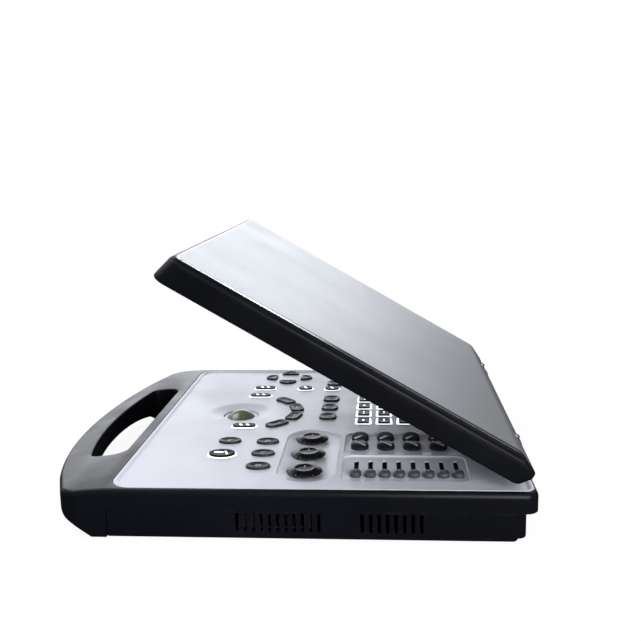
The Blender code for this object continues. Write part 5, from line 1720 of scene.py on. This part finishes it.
OVERHEAD_LIGHT = 0.75
BACKDROP_LIGHT = 2.5
FRONT_LIGHT = 0.35
LEAST_LIGHT = 0.05
COOL, PLAIN = (0.95, 0.98, 1.04, 1), (1, 1, 1, 1)


def make_world():
    """White to the camera. Its light is strong from above and behind, and weak from the camera's side."""
    world = bpy.data.worlds.new("studio_light")
    bpy.context.scene.world = world
    world.use_nodes = True
    tree = world.node_tree
    direction = tree.nodes.new("ShaderNodeSeparateXYZ")
    tree.links.new(tree.nodes.new("ShaderNodeTexCoord").outputs["Generated"], direction.inputs["Vector"])

    def along(axis, low, high, out_low, out_high):
        return node_range(tree, direction.outputs[axis], low, high, out_low, out_high, "SMOOTHSTEP")

    behind = along("X", -0.15, -0.85, 0.0, BACKDROP_LIGHT)
    for limits in (("Y", 0.0, 0.38, 1.0, 0.08), ("Y", -0.7, -0.2, 0.35, 1.0), ("Z", 0.6, 0.3, 0.0, 1.0)):
        behind = node_maths(tree, "MULTIPLY", behind, along(*limits))
    light = node_maths(tree, "ADD", along("Z", 0.1, 0.95, 0.0, OVERHEAD_LIGHT), behind)
    light = node_maths(tree, "ADD", light, along("Y", -0.3, -0.95, 0.0, FRONT_LIGHT))
    light = node_maths(tree, "ADD", light, LEAST_LIGHT)
    seen = tree.nodes.new("ShaderNodeLightPath").outputs["Is Camera Ray"]
    background = tree.nodes["Background"]
    tree.links.new(colour_mix(tree, seen, COOL, PLAIN), background.inputs["Color"])
    tree.links.new(node_maths(tree, "MAXIMUM", light, seen), background.inputs["Strength"])


def floor_finish():
    """A pale floor that fades to plain white away from the object, and throws little light back at it."""
    made = Finish("pale_floor", (0.93, 0.93, 0.93), 0.75)
    made.mottle(2.0, 0.2, (0.9, 0.9, 0.905))
    made.bump(made.noise(40.0), 0.02 * MM, 0.2)
    tree = made.tree
    dark = made.node("ShaderNodeBsdfDiffuse", Color=(0.04, 0.04, 0.042, 1))
    white = made.node("ShaderNodeEmission")
    distance = made.node("ShaderNodeVectorMath")
    distance.operation = "LENGTH"
    made.link(made.coords, distance.inputs[0])

    def mixed(factor, first, second):
        mix = made.node("ShaderNodeMixShader")
        for output, target in zip((factor, first.outputs[0], second.outputs[0]), mix.inputs):
            made.link(output, target)
        return mix

    fade = node_range(tree, distance.outputs["Value"], 0.2, 0.42, 0.92, 1.0, "SMOOTHSTEP")
    seen = made.node("ShaderNodeLightPath").outputs["Is Camera Ray"]
    floor = mixed(seen, dark, mixed(fade, made.shader, white))
    made.link(floor.outputs["Shader"], tree.nodes["Material Output"].inputs["Surface"])
    return made.material


def make_stage():
    def sheet(bm):
        """A round floor, very slightly dished up at its far rim."""
        rings = [(0.5, 0.0), (1.5, 0.0), (3.0, 0.01), (4.0, 0.06)]
        steps = 64
        loops = []
        for radius, z in rings:
            turns = [2 * math.pi * i / steps for i in range(steps)]
            loops.append([bm.verts.new((radius * math.cos(a), radius * math.sin(a), z)) for a in turns])
        bm.faces.new(loops[0])
        for inner, outer in zip(loops, loops[1:]):
            for i in range(steps):
                j = (i + 1) % steps
                bm.faces.new((inner[i], outer[i], outer[j], inner[j]))

    floor = solid(sheet)
    floor.name = "studio_floor"
    floor.data.materials.append(floor_finish())
    floor.data.shade_smooth()
    make_world()
    area_light("key_light", (-0.1, -0.75, 1.0), (0, -0.05, 0.05), (0.9, 0.7), 8.0)
    area_light("rear_light", (1.0, 0.45, 0.35), (0.14, 0.1, 0.03), (0.55, 0.55), 17)


CAMERA_PLACE = (0.6934, 0.0760, 0.2510)
CAMERA_YAW, CAMERA_TILT, CAMERA_ROLL = -4.251, 10.836, 1.047
CAMERA_LENS, SENSOR_WIDTH = 47.74, 36.0


def make_camera():
    yaw, tilt, roll = (math.radians(a) for a in (CAMERA_YAW, CAMERA_TILT, CAMERA_ROLL))
    forward = Vector((-math.cos(tilt) * math.cos(yaw), math.cos(tilt) * math.sin(yaw), -math.sin(tilt)))
    level_right = forward.cross(Vector((0, 0, 1))).normalized()
    level_down = forward.cross(level_right)
    right = level_right * math.cos(roll) + level_down * math.sin(roll)
    down = level_down * math.cos(roll) - level_right * math.sin(roll)
    turn = Matrix((right, -down, -forward)).transposed()
    data = bpy.data.cameras.new("photo_camera")
    data.lens = CAMERA_LENS
    data.sensor_width = SENSOR_WIDTH
    data.clip_start = 0.02
    camera = bpy.data.objects.new("photo_camera", data)
    camera.matrix_world = Matrix.Translation(CAMERA_PLACE) @ turn.to_4x4()
    bpy.context.scene.collection.objects.link(camera)
    bpy.context.scene.camera = camera
    bpy.context.scene.view_settings.view_transform = "Standard"


def build():
    make_upper_frame()
    make_bottom_shell()
    make_feet()
    make_control_panel()
    make_dark_buttons()
    make_lit_buttons()
    make_freeze_button()
    make_keyboard()
    make_trackball()
    make_knobs()
    make_sliders()
    make_rockers()
    make_lid_frame()
    make_lid_cover()
    make_display()
    make_hinges()
    make_probe_socket()
    make_io_plate()
    dress_inner_nodes()
    make_stage()
    make_camera()


build()
